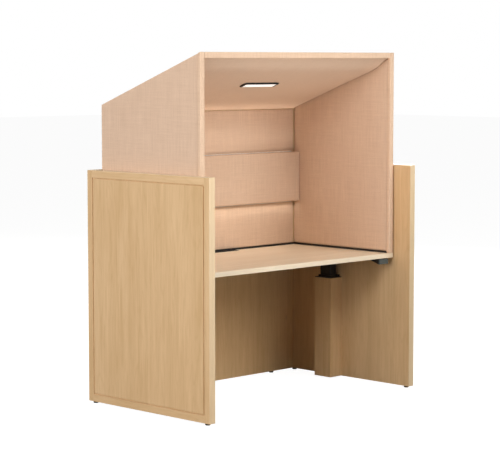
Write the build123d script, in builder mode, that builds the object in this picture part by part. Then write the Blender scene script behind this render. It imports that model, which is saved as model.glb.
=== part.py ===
from build123d import *
import math
import os

# Study carrel: a fixed wooden enclosure (two side panels and a back panel) around a desk that
# two electric columns raise and lower. The desk carries an upholstered hood with a lit
# tackboard, a ceiling light and a hand control.
# Millimetres. Origin on the floor under the centre of the carrel, +X to the sitter's right,
# +Y to the back, +Z up. The desk is modelled at its sitting height.

# ---- Driving dimensions ---------------------------------------------------------------------

# Fixed enclosure
ENCLOSURE_WIDTH = 1540.0
ENCLOSURE_DEPTH = 915.0
PANEL_TOP = 1219.0
PANEL_THICKNESS = 38.0
GLIDE_HEIGHT = 10.0
FACE_THICKNESS = 6.0
FACE_BORDER = 38.0
REVEAL_WIDTH = 6.0
BAND_THICKNESS = 2.0
BAND_EDGE = 1.0
JOINT_GAP = 0.25

# Desk
DESK_TOP = 737.0
DESK_THICKNESS = 25.0
DESK_HALF_WIDTH = 723.0
DESK_FRONT = -345.0
DESK_REAR = 401.0
PORT_HALF_WIDTH = 220.0
PORT_FRONT = 335.0
PORT_WALL = 3.0

# Hood that stands on the desk: plan as the desk, with a roof that falls to the back
HOOD_FRONT_TOP = 1827.0
HOOD_REAR_TOP = 1557.0
HOOD_WALL = 32.0
HOOD_CORE = 18.0
HOOD_PAD = 7.0
BACK_PAD = 4.5
ROOF_PAD = 6.5
EDGE_WRAP = 5.0
CEILING_PAD_DROP = 30.0
NOSE_LENGTH = 105.0
NOSE_START_DROP = 5.0
NOSE_MIDDLE_SHARE = 0.38
NOSE_MIDDLE_DROP = 30.0
NOSE_START_SLOPE = -0.35
RIM_DEPTH = 20.0
RIM_WRAP = 3.0
RAIL_HEIGHT = 10.0
SHADOW_GAP = 5.0
SOFT_GAP = 0.5

# Tackboard in front of the hood's back wall, and the light strips behind it
TACKBOARD_LOW = 988.0
TACKBOARD_HIGH = 1270.0
TACKBOARD_FRONT = 326.0
TACKBOARD_THICKNESS = 20.0
TACKBOARD_WRAP = 5.0
TACKBOARD_END_GAP = 1.0
STRIP_HALF_LENGTH = 640.0
STRIP_DEPTH = 12.0
STRIP_HEIGHT = 14.0
STRIP_WALL = 1.5
STRIP_LENS = 2.0
STRIP_PROUD = 3.0
SPACER_X = (-450.0, 450.0)
SPACER_Z = (1055.0, 1205.0)
SPACER_WIDTH = 40.0
SPACER_HEIGHT = 30.0

# Ceiling light, set into the ceiling pad
LIGHT_Y = -33.0
LIGHT_LENGTH = 250.0
LIGHT_DEPTH = 45.0
LIGHT_DROP = 7.0
LIGHT_BODY_LENGTH = 234.0
LIGHT_BODY_DEPTH = 33.0
LIGHT_BODY_HEIGHT = 18.0
LENS_LENGTH = 222.0
LENS_DEPTH = 37.0
LENS_THICKNESS = 4.0
LENS_SETBACK = 2.0

# Three-stage lifting columns, largest tube on top
STROKE_DOWN = 70.0
STROKE_UP = 430.0
COLUMN_X = 688.0
COLUMN_Y = 102.0
TUBE_WIDTH = 50.0
TUBE_DEPTH = 80.0
TUBE_WALL = 2.0
TUBE_CORNER = 5.0
TUBE_BORE_CORNER = 3.0
STAGE_STEP = 8.0
PAD_THICKNESS = 1.5
PAD_HEIGHT = 43.0
OUTER_TUBE_LOW = 110.0
OUTER_TUBE_HIGH = 690.0
MIDDLE_TUBE_LOW = 62.0
MIDDLE_TUBE_HIGH = 645.0
STAGE_CLEARANCE = 20.0
NUT_LOW = 570.0
NUT_CAP = 4.0
NUT_CAP_SETBACK = 1.0
NUT_CORNER = 2.4
NUT_FIT = 0.5
SCREW_RADIUS = 8.0
JOURNAL_RADIUS = 6.0
JOURNAL_LENGTH = 12.0
JOURNAL_END_GAP = 1.0
SCREW_END = 5.0
SCREW_CHAMFER = 1.5
RUNNING_GAP = 0.05

# Column base bracket and wooden column cover
COVER_INNER = 642.5
COVER_HALF_DEPTH = 61.0
COVER_BOARD = 16.0
COVER_TOP = 570.0
CAP_PLATE = 3.0
CAP_TOP = 584.0
CAP_TUBE_GAP = 2.0
CAP_COLLAR_WALL = 4.0
BRACKET_LOW = 12.0
BRACKET_PLATE = 5.0
BRACKET_HEIGHT = 150.0
BRACKET_WIDTH = 72.0
BRACKET_HALF_DEPTH = 42.0

# Steel under the desk
ARM_X = 680.0
ARM_WIDTH = 36.0
ARM_THICKNESS = 6.0
ARM_FRONT = -250.0
ARM_REAR = 380.0
ARM_CORNER = 8.0
HEAD_WIDTH = 60.0
HEAD_DEPTH = 104.0
HEAD_HEIGHT = 46.0
HEAD_CORNER = 4.0
MOTOR_RADIUS = 20.0
MOTOR_LENGTH = 110.0
MOTOR_CHAMFER = 3.0
BEAM_DEPTH = 25.0
BEAM_HEIGHT = 20.0
BOX_HALF_LENGTH = 140.0
BOX_FRONT = 175.0
BOX_DEPTH = 100.0
BOX_HEIGHT = 38.0
BOX_CORNER = 6.0
BOX_LOW_EDGE = 3.0
SOCKET_COUNT = 4
SOCKET_WIDTH = 18.0
SOCKET_HEIGHT = 12.0
SOCKET_DEPTH = 10.0
SOCKET_PITCH = 45.0

# Hand control under the right front of the desk
HANDSET_X = 651.0
HANDSET_WIDTH = 70.0
HANDSET_REAR = -268.0
HANDSET_FRONT = -333.0
HANDSET_FRONT_LOW = 681.0
HANDSET_REAR_LOW = 702.0
PADDLE_THICKNESS = 9.0
PADDLE_LOW = 680.0
PADDLE_HIGH = 707.0
PADDLE_EDGE = 2.5
PIVOT_Y = -312.0
PIVOT_Z = 701.0
PIVOT_RADIUS = 2.5
TONGUE_WIDTH = 30.0
TONGUE_HEIGHT = 8.0
TONGUE_REAR = -306.0
TRUNNION_LENGTH = 6.0
TRUNNION_END_GAP = 0.5
TONGUE_GAP = 2.0
TONGUE_ROOM_BELOW = 2.5
TONGUE_ROOM_ABOVE = 4.0
HANDSET_EDGE = 2.0

# Glides and fasteners
GLIDE_RADIUS = 13.0
GLIDE_PAD_HEIGHT = 6.0
GLIDE_PAD_EDGE = 1.5
GLIDE_NECK_RADIUS = 6.0
GLIDE_STEM_RADIUS = 4.0
GLIDE_STEM_LENGTH = 30.0
SIDE_GLIDE_Y = 424.0
BACK_GLIDE_X = 573.0
CAM_HEIGHTS = (120.0, 610.0, 1100.0)
CAM_SETBACK = 24.0
CAM_RADIUS = 7.5
CAM_BOLT_RADIUS = 3.5
CAM_BOLT_IN_SIDE = 11.0
CAM_LENGTH = 29.5
CAM_SLOT_WIDTH = 2.0
CAM_SLOT_LENGTH = 9.0
CAM_SLOT_DEPTH = 2.5
ARM_SCREW_Y = (-220.0, -90.0, 30.0, 200.0, 340.0)
ARM_SCREW_RADIUS = 2.5
ARM_SCREW_HEAD_RADIUS = 4.5
ARM_SCREW_HEAD = 3.0
ARM_SCREW_DEPTH = 16.0
HOOD_BOLT_SIDE_Y = (-250.0, 0.0, 250.0)
HOOD_BOLT_BACK_X = (-500.0, 0.0, 500.0)
HOOD_BOLT_RADIUS = 3.0
HOOD_BOLT_HEAD_RADIUS = 5.5
HOOD_BOLT_HEAD = 4.0
HOOD_BOLT_IN_CORE = 25.0
BRACKET_SCREW_RADIUS = 2.5
BRACKET_SCREW_HEAD_RADIUS = 5.0
BRACKET_SCREW_HEAD = 3.0
BRACKET_SCREW_LENGTH = 25.0
BRACKET_SCREW_Y = (-28.0, 28.0)
BRACKET_SCREW_Z = (60.0, 130.0)

# ---- Worked out from the driving dimensions -------------------------------------------------

SIDE_OUTER = ENCLOSURE_WIDTH / 2
SIDE_INNER = SIDE_OUTER - PANEL_THICKNESS
ENCLOSURE_REAR = ENCLOSURE_DEPTH / 2
BACK_INNER = ENCLOSURE_REAR - PANEL_THICKNESS
PANEL_CORE = PANEL_THICKNESS - FACE_THICKNESS
BACK_CORE_MIDDLE = BACK_INNER + PANEL_CORE / 2
DESK_BOTTOM = DESK_TOP - DESK_THICKNESS

HOOD_FALL = (HOOD_FRONT_TOP - HOOD_REAR_TOP) / (DESK_REAR - DESK_FRONT)
ROOF_ANGLE = math.atan(HOOD_FALL)
HOOD_INNER = DESK_HALF_WIDTH - HOOD_WALL
SIDE_CORE_INNER = HOOD_INNER + HOOD_PAD
SIDE_CORE_OUTER = SIDE_CORE_INNER + HOOD_CORE
RIM_REAR = DESK_FRONT + RIM_DEPTH
BACK_CORE_REAR = DESK_REAR - BACK_PAD
BACK_CORE_FRONT = BACK_CORE_REAR - HOOD_CORE
BACK_LINER_FRONT = BACK_CORE_FRONT - BACK_PAD
RAIL_TOP = DESK_TOP + RAIL_HEIGHT
ROOF_CORE_TOP_DROP = ROOF_PAD / math.cos(ROOF_ANGLE)
ROOF_CORE_LOW_DROP = ROOF_CORE_TOP_DROP + HOOD_CORE / math.cos(ROOF_ANGLE)
CEILING_DROP = ROOF_CORE_LOW_DROP + CEILING_PAD_DROP

TACKBOARD_REAR = TACKBOARD_FRONT + TACKBOARD_THICKNESS
HEAD_HIGH = DESK_BOTTOM - ARM_THICKNESS
HEAD_LOW = HEAD_HIGH - HEAD_HEIGHT
BASE_TUBE_LOW = BRACKET_LOW + BRACKET_PLATE
BASE_TUBE_HIGH = OUTER_TUBE_HIGH - STROKE_DOWN - STAGE_CLEARANCE
SCREW_LOW = NUT_LOW - STROKE_UP - SCREW_END
SIDES = {"left": -1, "right": 1}

# Panel planes: local X runs along the panel, local Y is up, local Z points out of the carrel
PANEL_PLANES = {
    "left": Plane(origin=(-SIDE_INNER, 0, 0), x_dir=(0, -1, 0), z_dir=(-1, 0, 0)),
    "right": Plane(origin=(SIDE_INNER, 0, 0), x_dir=(0, 1, 0), z_dir=(1, 0, 0)),
    "back": Plane(origin=(0, BACK_INNER, 0), x_dir=(-1, 0, 0), z_dir=(0, 1, 0)),
}
PANEL_HALF_LENGTHS = {"left": ENCLOSURE_REAR, "right": ENCLOSURE_REAR, "back": SIDE_INNER}

os.makedirs("parts", exist_ok=True)


# ---- Helpers --------------------------------------------------------------------------------


def save(built, node):
    """Label the finished piece with its node name and write it."""
    built.part.label = node
    export_step(built.part, f"parts/{node}.step")


def block(x_span, y_span, z_span, mode=Mode.ADD):
    """A rectangular block between two values on each axis, in the part being built."""
    spans = (x_span, y_span, z_span)
    middle = tuple((low + high) / 2 for low, high in spans)
    size = tuple(abs(high - low) for low, high in spans)
    with Locations(middle):
        Box(*size, mode=mode)


def plate(plane, along, up, depth, mode=Mode.ADD):
    """A rectangular plate in a panel's own plane, between two values along, up and outward."""
    with BuildSketch(plane.offset(depth[0])) as outline:
        with Locations(((along[0] + along[1]) / 2, (up[0] + up[1]) / 2)):
            Rectangle(along[1] - along[0], up[1] - up[0])
    extrude(outline.sketch, amount=depth[1] - depth[0], mode=mode)


def profile_along_x(x_span, corners, mode=Mode.ADD):
    """A prism along X with a straight-sided outline of (y, z) corners."""
    with BuildSketch(Plane.YZ.offset(x_span[0])) as outline:
        with BuildLine():
            Polyline(*corners, close=True)
        make_face()
    extrude(outline.sketch, amount=x_span[1] - x_span[0], mode=mode)


def rod(start, direction, radius, length, mode=Mode.ADD):
    """A cylinder from a start point along a direction."""
    with BuildSketch(Plane(origin=start, z_dir=direction)) as section:
        Circle(radius)
    extrude(section.sketch, amount=length, mode=mode)


def roof(y, drop=0.0):
    """Height of the hood's top surface at y, less a vertical drop."""
    return HOOD_FRONT_TOP - HOOD_FALL * (y - DESK_FRONT) - drop


def mirrored(low, high, side):
    """A span on X, mirrored for the left side and kept in rising order."""
    return tuple(sorted((side * low, side * high)))


def under_roof(y_span, low, drop=0.0):
    """Corners of an upright outline whose top follows the roof."""
    front, rear = y_span
    return [(front, low), (rear, low), (rear, roof(rear, drop)), (front, roof(front, drop))]


def beside_roof(y_span, high_drop, low_drop):
    """Corners of a layer that follows the roof, between two vertical drops."""
    front, rear = y_span
    return [
        (front, roof(front, low_drop)),
        (rear, roof(rear, low_drop)),
        (rear, roof(rear, high_drop)),
        (front, roof(front, high_drop)),
    ]


# ---- Enclosure: panels ----------------------------------------------------------------------

for panel, plane in PANEL_PLANES.items():
    half = PANEL_HALF_LENGTHS[panel]
    end_band = 0.0 if panel == "back" else BAND_THICKNESS
    end = half - end_band
    top = PANEL_TOP - BAND_THICKNESS
    glide_spots = (-BACK_GLIDE_X, BACK_GLIDE_X) if panel == "back" else (-SIDE_GLIDE_Y, SIDE_GLIDE_Y)

    # The board inside the panel, bored for the glide stems and the panel connectors
    with BuildPart() as panel_core:
        plate(plane, (-end, end), (GLIDE_HEIGHT, top), (0, PANEL_CORE))
        for spot in glide_spots:
            stem_low = plane.from_local_coords((spot, GLIDE_HEIGHT, PANEL_THICKNESS / 2))
            rod(stem_low, (0, 0, 1), GLIDE_STEM_RADIUS, GLIDE_STEM_LENGTH, Mode.SUBTRACT)
        for height in CAM_HEIGHTS:
            for side in SIDES.values():
                if panel == "back":
                    bolt_end = ((SIDE_INNER - CAM_SETBACK) * side, BACK_CORE_MIDDLE, height)
                    rod(bolt_end, (side, 0, 0), CAM_BOLT_RADIUS, CAM_SETBACK, Mode.SUBTRACT)
                    cam_end = (bolt_end[0], ENCLOSURE_REAR, height)
                    rod(cam_end, (0, -1, 0), CAM_RADIUS, CAM_LENGTH, Mode.SUBTRACT)
                elif side == SIDES[panel]:
                    bolt_mouth = (SIDE_INNER * side, BACK_CORE_MIDDLE, height)
                    rod(bolt_mouth, (side, 0, 0), CAM_BOLT_RADIUS, CAM_BOLT_IN_SIDE, Mode.SUBTRACT)
        if panel != "back":
            for y_offset in BRACKET_SCREW_Y:
                for height in BRACKET_SCREW_Z:
                    hole = (SIDE_INNER * SIDES[panel], COLUMN_Y + y_offset, height)
                    depth = BRACKET_SCREW_LENGTH - BRACKET_PLATE
                    rod(hole, (SIDES[panel], 0, 0), BRACKET_SCREW_RADIUS, depth, Mode.SUBTRACT)
    save(panel_core, f"{panel}_panel_core")

    # Border of the outer face: two stiles and two rails between them, outside the reveal
    stile_edge = half - FACE_BORDER
    rail_end = stile_edge - JOINT_GAP
    face = (PANEL_CORE, PANEL_THICKNESS)
    with BuildPart() as face_frame:
        plate(plane, (-end, -stile_edge), (GLIDE_HEIGHT, top), face)
        plate(plane, (stile_edge, end), (GLIDE_HEIGHT, top), face)
        plate(plane, (-rail_end, rail_end), (GLIDE_HEIGHT, GLIDE_HEIGHT + FACE_BORDER), face)
        plate(plane, (-rail_end, rail_end), (PANEL_TOP - FACE_BORDER, top), face)
        if panel == "back":
            for height in CAM_HEIGHTS:
                for side in SIDES.values():
                    cam_end = ((SIDE_INNER - CAM_SETBACK) * side, ENCLOSURE_REAR, height)
                    rod(cam_end, (0, -1, 0), CAM_RADIUS, FACE_THICKNESS, Mode.SUBTRACT)
    save(face_frame, f"{panel}_face_frame")

    # Panel inside the reveal, flush with the border
    inset = FACE_BORDER + REVEAL_WIDTH
    with BuildPart() as inset_panel:
        plate(plane, (inset - half, half - inset), (GLIDE_HEIGHT + inset, PANEL_TOP - inset), face)
    save(inset_panel, f"{panel}_inset_panel")

# Veneered strips on the visible edges of the three panels, with hairline joints between them
with BuildPart() as edge_bands:
    for panel, plane in PANEL_PLANES.items():
        half = PANEL_HALF_LENGTHS[panel]
        end = half - (0.0 if panel == "back" else BAND_THICKNESS)
        thickness = (0, PANEL_THICKNESS)
        top_end = end - JOINT_GAP
        plate(plane, (-top_end, top_end), (PANEL_TOP - BAND_THICKNESS, PANEL_TOP), thickness)
        if panel != "back":
            plate(plane, (-half, -end), (GLIDE_HEIGHT, PANEL_TOP), thickness)
            plate(plane, (end, half), (GLIDE_HEIGHT, PANEL_TOP), thickness)
save(edge_bands, "panel_edge_bands")

# Levelling glides: a pad, a neck and a stem screwed up into each panel
with BuildPart() as glides:
    glide_x = SIDE_INNER + PANEL_THICKNESS / 2
    glide_spots = [(x, y) for x in (-glide_x, glide_x) for y in (-SIDE_GLIDE_Y, SIDE_GLIDE_Y)]
    glide_spots += [(x, BACK_INNER + PANEL_THICKNESS / 2) for x in (-BACK_GLIDE_X, BACK_GLIDE_X)]
    for x, y in glide_spots:
        rod((x, y, 0), (0, 0, 1), GLIDE_RADIUS, GLIDE_PAD_HEIGHT)
        rod((x, y, GLIDE_PAD_HEIGHT), (0, 0, 1), GLIDE_NECK_RADIUS, GLIDE_HEIGHT - GLIDE_PAD_HEIGHT)
        rod((x, y, GLIDE_HEIGHT), (0, 0, 1), GLIDE_STEM_RADIUS, GLIDE_STEM_LENGTH)
    pad_edges = glides.edges().filter_by(GeomType.CIRCLE).filter_by_position(Axis.Z, 0, 0)
    fillet(pad_edges, radius=GLIDE_PAD_EDGE)
save(glides, "levelling_glides")

# Connectors that draw the back panel to the side panels
with BuildPart() as cam_bolts:
    for height in CAM_HEIGHTS:
        for side in SIDES.values():
            bolt_end = ((SIDE_INNER - CAM_SETBACK) * side, BACK_CORE_MIDDLE, height)
            length = CAM_SETBACK + CAM_BOLT_IN_SIDE
            rod(bolt_end, (side, 0, 0), CAM_BOLT_RADIUS, length)
save(cam_bolts, "cam_bolts")

with BuildPart() as cam_nuts:
    for height in CAM_HEIGHTS:
        for side in SIDES.values():
            x = (SIDE_INNER - CAM_SETBACK) * side
            rod((x, ENCLOSURE_REAR, height), (0, -1, 0), CAM_RADIUS, CAM_LENGTH)
            bolt_end = (x, BACK_CORE_MIDDLE, height)
            rod(bolt_end, (side, 0, 0), CAM_BOLT_RADIUS, CAM_SETBACK, Mode.SUBTRACT)
            slot_y = (ENCLOSURE_REAR - CAM_SLOT_DEPTH, ENCLOSURE_REAR)
            long, short = CAM_SLOT_LENGTH / 2, CAM_SLOT_WIDTH / 2
            for half_x, half_z in ((long, short), (short, long)):
                slot_x = (x - half_x, x + half_x)
                block(slot_x, slot_y, (height - half_z, height + half_z), Mode.SUBTRACT)
save(cam_nuts, "cam_nuts")

# ---- Enclosure: column bases and covers -----------------------------------------------------

for name, side in SIDES.items():
    # Three mitred boards around the column, against the side panel
    with BuildPart() as cover:
        outside_y = (COLUMN_Y - COVER_HALF_DEPTH, COLUMN_Y + COVER_HALF_DEPTH)
        inside_y = (outside_y[0] + COVER_BOARD, outside_y[1] - COVER_BOARD)
        height = (GLIDE_HEIGHT, COVER_TOP)
        block(mirrored(COVER_INNER, SIDE_INNER, side), outside_y, height)
        block(mirrored(COVER_INNER + COVER_BOARD, SIDE_INNER, side), inside_y, height, Mode.SUBTRACT)
    save(cover, f"{name}_column_cover")

# Black cap on each cover, with a raised collar that the column passes through
with BuildPart() as cover_caps:
    for side in SIDES.values():
        hole_width = TUBE_WIDTH / 2 + CAP_TUBE_GAP
        hole_depth = TUBE_DEPTH / 2 + CAP_TUBE_GAP
        collar_low_x = COLUMN_X - hole_width - CAP_COLLAR_WALL
        collar_depth = hole_depth + CAP_COLLAR_WALL
        plate_y = (COLUMN_Y - COVER_HALF_DEPTH, COLUMN_Y + COVER_HALF_DEPTH)
        collar_y = (COLUMN_Y - collar_depth, COLUMN_Y + collar_depth)
        hole_x = mirrored(COLUMN_X - hole_width, COLUMN_X + hole_width, side)
        hole_y = (COLUMN_Y - hole_depth, COLUMN_Y + hole_depth)
        block(mirrored(COVER_INNER, SIDE_INNER, side), plate_y, (COVER_TOP, COVER_TOP + CAP_PLATE))
        block(mirrored(collar_low_x, SIDE_INNER, side), collar_y, (COVER_TOP, CAP_TOP))
        block(hole_x, hole_y, (COVER_TOP, CAP_TOP), Mode.SUBTRACT)
save(cover_caps, "column_cover_caps")

# Angle bracket that carries each column on the side panel
with BuildPart() as base_brackets:
    for side in SIDES.values():
        y_span = (COLUMN_Y - BRACKET_HALF_DEPTH, COLUMN_Y + BRACKET_HALF_DEPTH)
        foot = mirrored(SIDE_INNER - BRACKET_WIDTH, SIDE_INNER, side)
        leg = mirrored(SIDE_INNER - BRACKET_PLATE, SIDE_INNER, side)
        block(foot, y_span, (BRACKET_LOW, BRACKET_LOW + BRACKET_PLATE))
        block(leg, y_span, (BRACKET_LOW, BRACKET_LOW + BRACKET_HEIGHT))
        for y_offset in BRACKET_SCREW_Y:
            for height in BRACKET_SCREW_Z:
                mouth = (SIDE_INNER * side, COLUMN_Y + y_offset, height)
                rod(mouth, (-side, 0, 0), BRACKET_SCREW_RADIUS, BRACKET_PLATE, Mode.SUBTRACT)
save(base_brackets, "base_brackets")

with BuildPart() as bracket_screws:
    for side in SIDES.values():
        head_x = (SIDE_INNER - BRACKET_PLATE - BRACKET_SCREW_HEAD) * side
        neck_x = (SIDE_INNER - BRACKET_PLATE) * side
        for y_offset in BRACKET_SCREW_Y:
            for height in BRACKET_SCREW_Z:
                y = COLUMN_Y + y_offset
                rod((head_x, y, height), (side, 0, 0), BRACKET_SCREW_HEAD_RADIUS, BRACKET_SCREW_HEAD)
                rod((neck_x, y, height), (side, 0, 0), BRACKET_SCREW_RADIUS, BRACKET_SCREW_LENGTH)
save(bracket_screws, "bracket_screws")

# ---- Lifting columns ------------------------------------------------------------------------


def column_tube(side, stage, z_span):
    """One tube of a column. Stage 0 is the outermost, and each stage is one step smaller."""
    width = TUBE_WIDTH - stage * STAGE_STEP
    depth = TUBE_DEPTH - stage * STAGE_STEP
    with BuildSketch(Plane.XY.offset(z_span[0])) as section:
        with Locations((COLUMN_X * side, COLUMN_Y)):
            RectangleRounded(width, depth, radius=TUBE_CORNER - stage)
            bore_width = width - 2 * TUBE_WALL
            bore_depth = depth - 2 * TUBE_WALL
            bore_corner = TUBE_BORE_CORNER - stage / 2
            RectangleRounded(bore_width, bore_depth, radius=bore_corner, mode=Mode.SUBTRACT)
    extrude(section.sketch, amount=z_span[1] - z_span[0])


def pad_ring(side, stage, top):
    """Plastic slide pads as a thin ring round the top of a tube."""
    width = TUBE_WIDTH - stage * STAGE_STEP
    depth = TUBE_DEPTH - stage * STAGE_STEP
    with BuildSketch(Plane.XY.offset(top - PAD_HEIGHT)) as section:
        with Locations((COLUMN_X * side, COLUMN_Y)):
            outer_width = width + 2 * PAD_THICKNESS
            outer_depth = depth + 2 * PAD_THICKNESS
            RectangleRounded(outer_width, outer_depth, radius=TUBE_CORNER - stage)
            RectangleRounded(width, depth, radius=TUBE_CORNER - stage, mode=Mode.SUBTRACT)
    extrude(section.sketch, amount=PAD_HEIGHT)


with BuildPart() as base_tubes:
    for side in SIDES.values():
        column_tube(side, 2, (BASE_TUBE_LOW, BASE_TUBE_HIGH))
save(base_tubes, "base_tubes")

with BuildPart() as base_tube_pads:
    for side in SIDES.values():
        pad_ring(side, 2, BASE_TUBE_HIGH - PAD_THICKNESS)
save(base_tube_pads, "base_tube_pads")

for name, side in SIDES.items():
    with BuildPart() as middle_tube:
        column_tube(side, 1, (MIDDLE_TUBE_LOW, MIDDLE_TUBE_HIGH))
    save(middle_tube, f"{name}_middle_tube")

    with BuildPart() as middle_tube_pads:
        pad_ring(side, 1, MIDDLE_TUBE_HIGH - PAD_THICKNESS)
    save(middle_tube_pads, f"{name}_middle_tube_pads")

with BuildPart() as outer_tubes:
    for side in SIDES.values():
        column_tube(side, 0, (OUTER_TUBE_LOW, OUTER_TUBE_HIGH))
save(outer_tubes, "outer_tubes")

# Nut at the top of each base tube, with a cap over the tube's end
with BuildPart() as spindle_nuts:
    for side in SIDES.values():
        tube_width = TUBE_WIDTH - 2 * STAGE_STEP
        tube_depth = TUBE_DEPTH - 2 * STAGE_STEP
        bore_width = tube_width - 2 * TUBE_WALL
        bore_depth = tube_depth - 2 * TUBE_WALL
        with Locations((COLUMN_X * side, COLUMN_Y, (NUT_LOW + BASE_TUBE_HIGH) / 2)):
            Box(bore_width - NUT_FIT, bore_depth - NUT_FIT, BASE_TUBE_HIGH - NUT_LOW)
        with Locations((COLUMN_X * side, COLUMN_Y, BASE_TUBE_HIGH + NUT_CAP / 2)):
            Box(tube_width - 2 * NUT_CAP_SETBACK, tube_depth - 2 * NUT_CAP_SETBACK, NUT_CAP)
    corners = spindle_nuts.edges().filter_by(Axis.Z)
    fillet(corners, radius=NUT_CORNER)
    for side in SIDES.values():
        length = BASE_TUBE_HIGH + NUT_CAP - NUT_LOW
        bore_low = (COLUMN_X * side, COLUMN_Y, NUT_LOW)
        rod(bore_low, (0, 0, 1), SCREW_RADIUS + RUNNING_GAP, length, Mode.SUBTRACT)
save(spindle_nuts, "spindle_nuts")

# Lead screw of each column, turned by the drive above it
for name, side in SIDES.items():
    with BuildPart() as spindle:
        rod((COLUMN_X * side, COLUMN_Y, SCREW_LOW), (0, 0, 1), SCREW_RADIUS, OUTER_TUBE_HIGH - SCREW_LOW)
        journal_low = (COLUMN_X * side, COLUMN_Y, OUTER_TUBE_HIGH)
        rod(journal_low, (0, 0, 1), JOURNAL_RADIUS, JOURNAL_LENGTH)
        chamfer(spindle.faces().sort_by(Axis.Z)[0].edges(), length=SCREW_CHAMFER)
    save(spindle, f"{name}_spindle")

# ---- Steel and drives under the desk --------------------------------------------------------

# Gear housing on top of each column
with BuildPart() as drive_heads:
    for side in SIDES.values():
        x_span = mirrored(COLUMN_X - HEAD_WIDTH / 2, COLUMN_X + HEAD_WIDTH / 2, side)
        y_span = (COLUMN_Y - HEAD_DEPTH / 2, COLUMN_Y + HEAD_DEPTH / 2)
        block(x_span, y_span, (HEAD_LOW, HEAD_HIGH))
    fillet(drive_heads.edges().filter_by(Axis.Z), radius=HEAD_CORNER)
    for side in SIDES.values():
        with BuildSketch(Plane.XY.offset(HEAD_LOW)) as pocket:
            with Locations((COLUMN_X * side, COLUMN_Y)):
                RectangleRounded(TUBE_WIDTH, TUBE_DEPTH, radius=TUBE_CORNER)
        extrude(pocket.sketch, amount=OUTER_TUBE_HIGH - HEAD_LOW, mode=Mode.SUBTRACT)
        bore_low = (COLUMN_X * side, COLUMN_Y, OUTER_TUBE_HIGH)
        bore_length = JOURNAL_LENGTH + JOURNAL_END_GAP
        rod(bore_low, (0, 0, 1), JOURNAL_RADIUS + RUNNING_GAP, bore_length, Mode.SUBTRACT)
save(drive_heads, "drive_heads")

# Motor flanged to the inner side of each gear housing
with BuildPart() as lift_motors:
    for side in SIDES.values():
        flange_x = (COLUMN_X - HEAD_WIDTH / 2) * side
        axis_z = (HEAD_LOW + HEAD_HIGH) / 2
        rod((flange_x, COLUMN_Y, axis_z), (-side, 0, 0), MOTOR_RADIUS, MOTOR_LENGTH)
    motor_ends = lift_motors.edges().filter_by(GeomType.CIRCLE).group_by(Axis.X)
    chamfer(motor_ends[1] + motor_ends[-2], length=MOTOR_CHAMFER)
save(lift_motors, "lift_motors")

# Flat steel arms screwed under the desk, over the drive heads
with BuildPart() as support_arms:
    for side in SIDES.values():
        x_span = mirrored(ARM_X - ARM_WIDTH / 2, ARM_X + ARM_WIDTH / 2, side)
        block(x_span, (ARM_FRONT, ARM_REAR), (HEAD_HIGH, DESK_BOTTOM))
    fillet(support_arms.edges().filter_by(Axis.Z), radius=ARM_CORNER)
    for side in SIDES.values():
        for y in ARM_SCREW_Y:
            rod((ARM_X * side, y, HEAD_HIGH), (0, 0, 1), ARM_SCREW_RADIUS, ARM_THICKNESS, Mode.SUBTRACT)
save(support_arms, "support_arms")

# Two hollow beams that tie the drive heads together
with BuildPart() as crossbeams:
    beam_end = COLUMN_X - HEAD_WIDTH / 2
    beam_high = HEAD_HIGH - TUBE_WALL
    for y_low in (COLUMN_Y - HEAD_DEPTH / 2, COLUMN_Y + HEAD_DEPTH / 2 - BEAM_DEPTH):
        outer_y = (y_low, y_low + BEAM_DEPTH)
        inner_y = (outer_y[0] + TUBE_WALL, outer_y[1] - TUBE_WALL)
        inner_z = (beam_high - BEAM_HEIGHT + TUBE_WALL, beam_high - TUBE_WALL)
        block((-beam_end, beam_end), outer_y, (beam_high - BEAM_HEIGHT, beam_high))
        block((-beam_end, beam_end), inner_y, inner_z, Mode.SUBTRACT)
save(crossbeams, "crossbeams")

with BuildPart() as arm_screws:
    for side in SIDES.values():
        for y in ARM_SCREW_Y:
            head_low = (ARM_X * side, y, HEAD_HIGH - ARM_SCREW_HEAD)
            rod(head_low, (0, 0, 1), ARM_SCREW_HEAD_RADIUS, ARM_SCREW_HEAD)
            shank = ARM_THICKNESS + ARM_SCREW_DEPTH
            rod((ARM_X * side, y, HEAD_HIGH), (0, 0, 1), ARM_SCREW_RADIUS, shank)
save(arm_screws, "arm_screws")

# Control unit, with the sockets for the two motors, the hand control and the mains lead
with BuildPart() as control_box:
    box_low = DESK_BOTTOM - BOX_HEIGHT
    block((-BOX_HALF_LENGTH, BOX_HALF_LENGTH), (BOX_FRONT, BOX_FRONT + BOX_DEPTH), (box_low, DESK_BOTTOM))
    fillet(control_box.edges().filter_by(Axis.Z), radius=BOX_CORNER)
    fillet(control_box.faces().sort_by(Axis.Z)[0].edges(), radius=BOX_LOW_EDGE)
    for number in range(SOCKET_COUNT):
        middle_x = (number - (SOCKET_COUNT - 1) / 2) * SOCKET_PITCH
        socket_x = (middle_x - SOCKET_WIDTH / 2, middle_x + SOCKET_WIDTH / 2)
        socket_low = box_low + (BOX_HEIGHT - SOCKET_HEIGHT) / 2
        socket_y = (BOX_FRONT + BOX_DEPTH - SOCKET_DEPTH, BOX_FRONT + BOX_DEPTH)
        block(socket_x, socket_y, (socket_low, socket_low + SOCKET_HEIGHT), Mode.SUBTRACT)
save(control_box, "control_box")

# ---- Desk -----------------------------------------------------------------------------------


def hood_bolt_spots():
    """Plan positions of the bolts that hold the hood's walls down on the desk."""
    side_x = (SIDE_CORE_INNER + SIDE_CORE_OUTER) / 2
    back_y = (BACK_CORE_FRONT + BACK_CORE_REAR) / 2
    spots = [(side * side_x, y) for side in SIDES.values() for y in HOOD_BOLT_SIDE_Y]
    return spots + [(x, back_y) for x in HOOD_BOLT_BACK_X]


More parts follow.
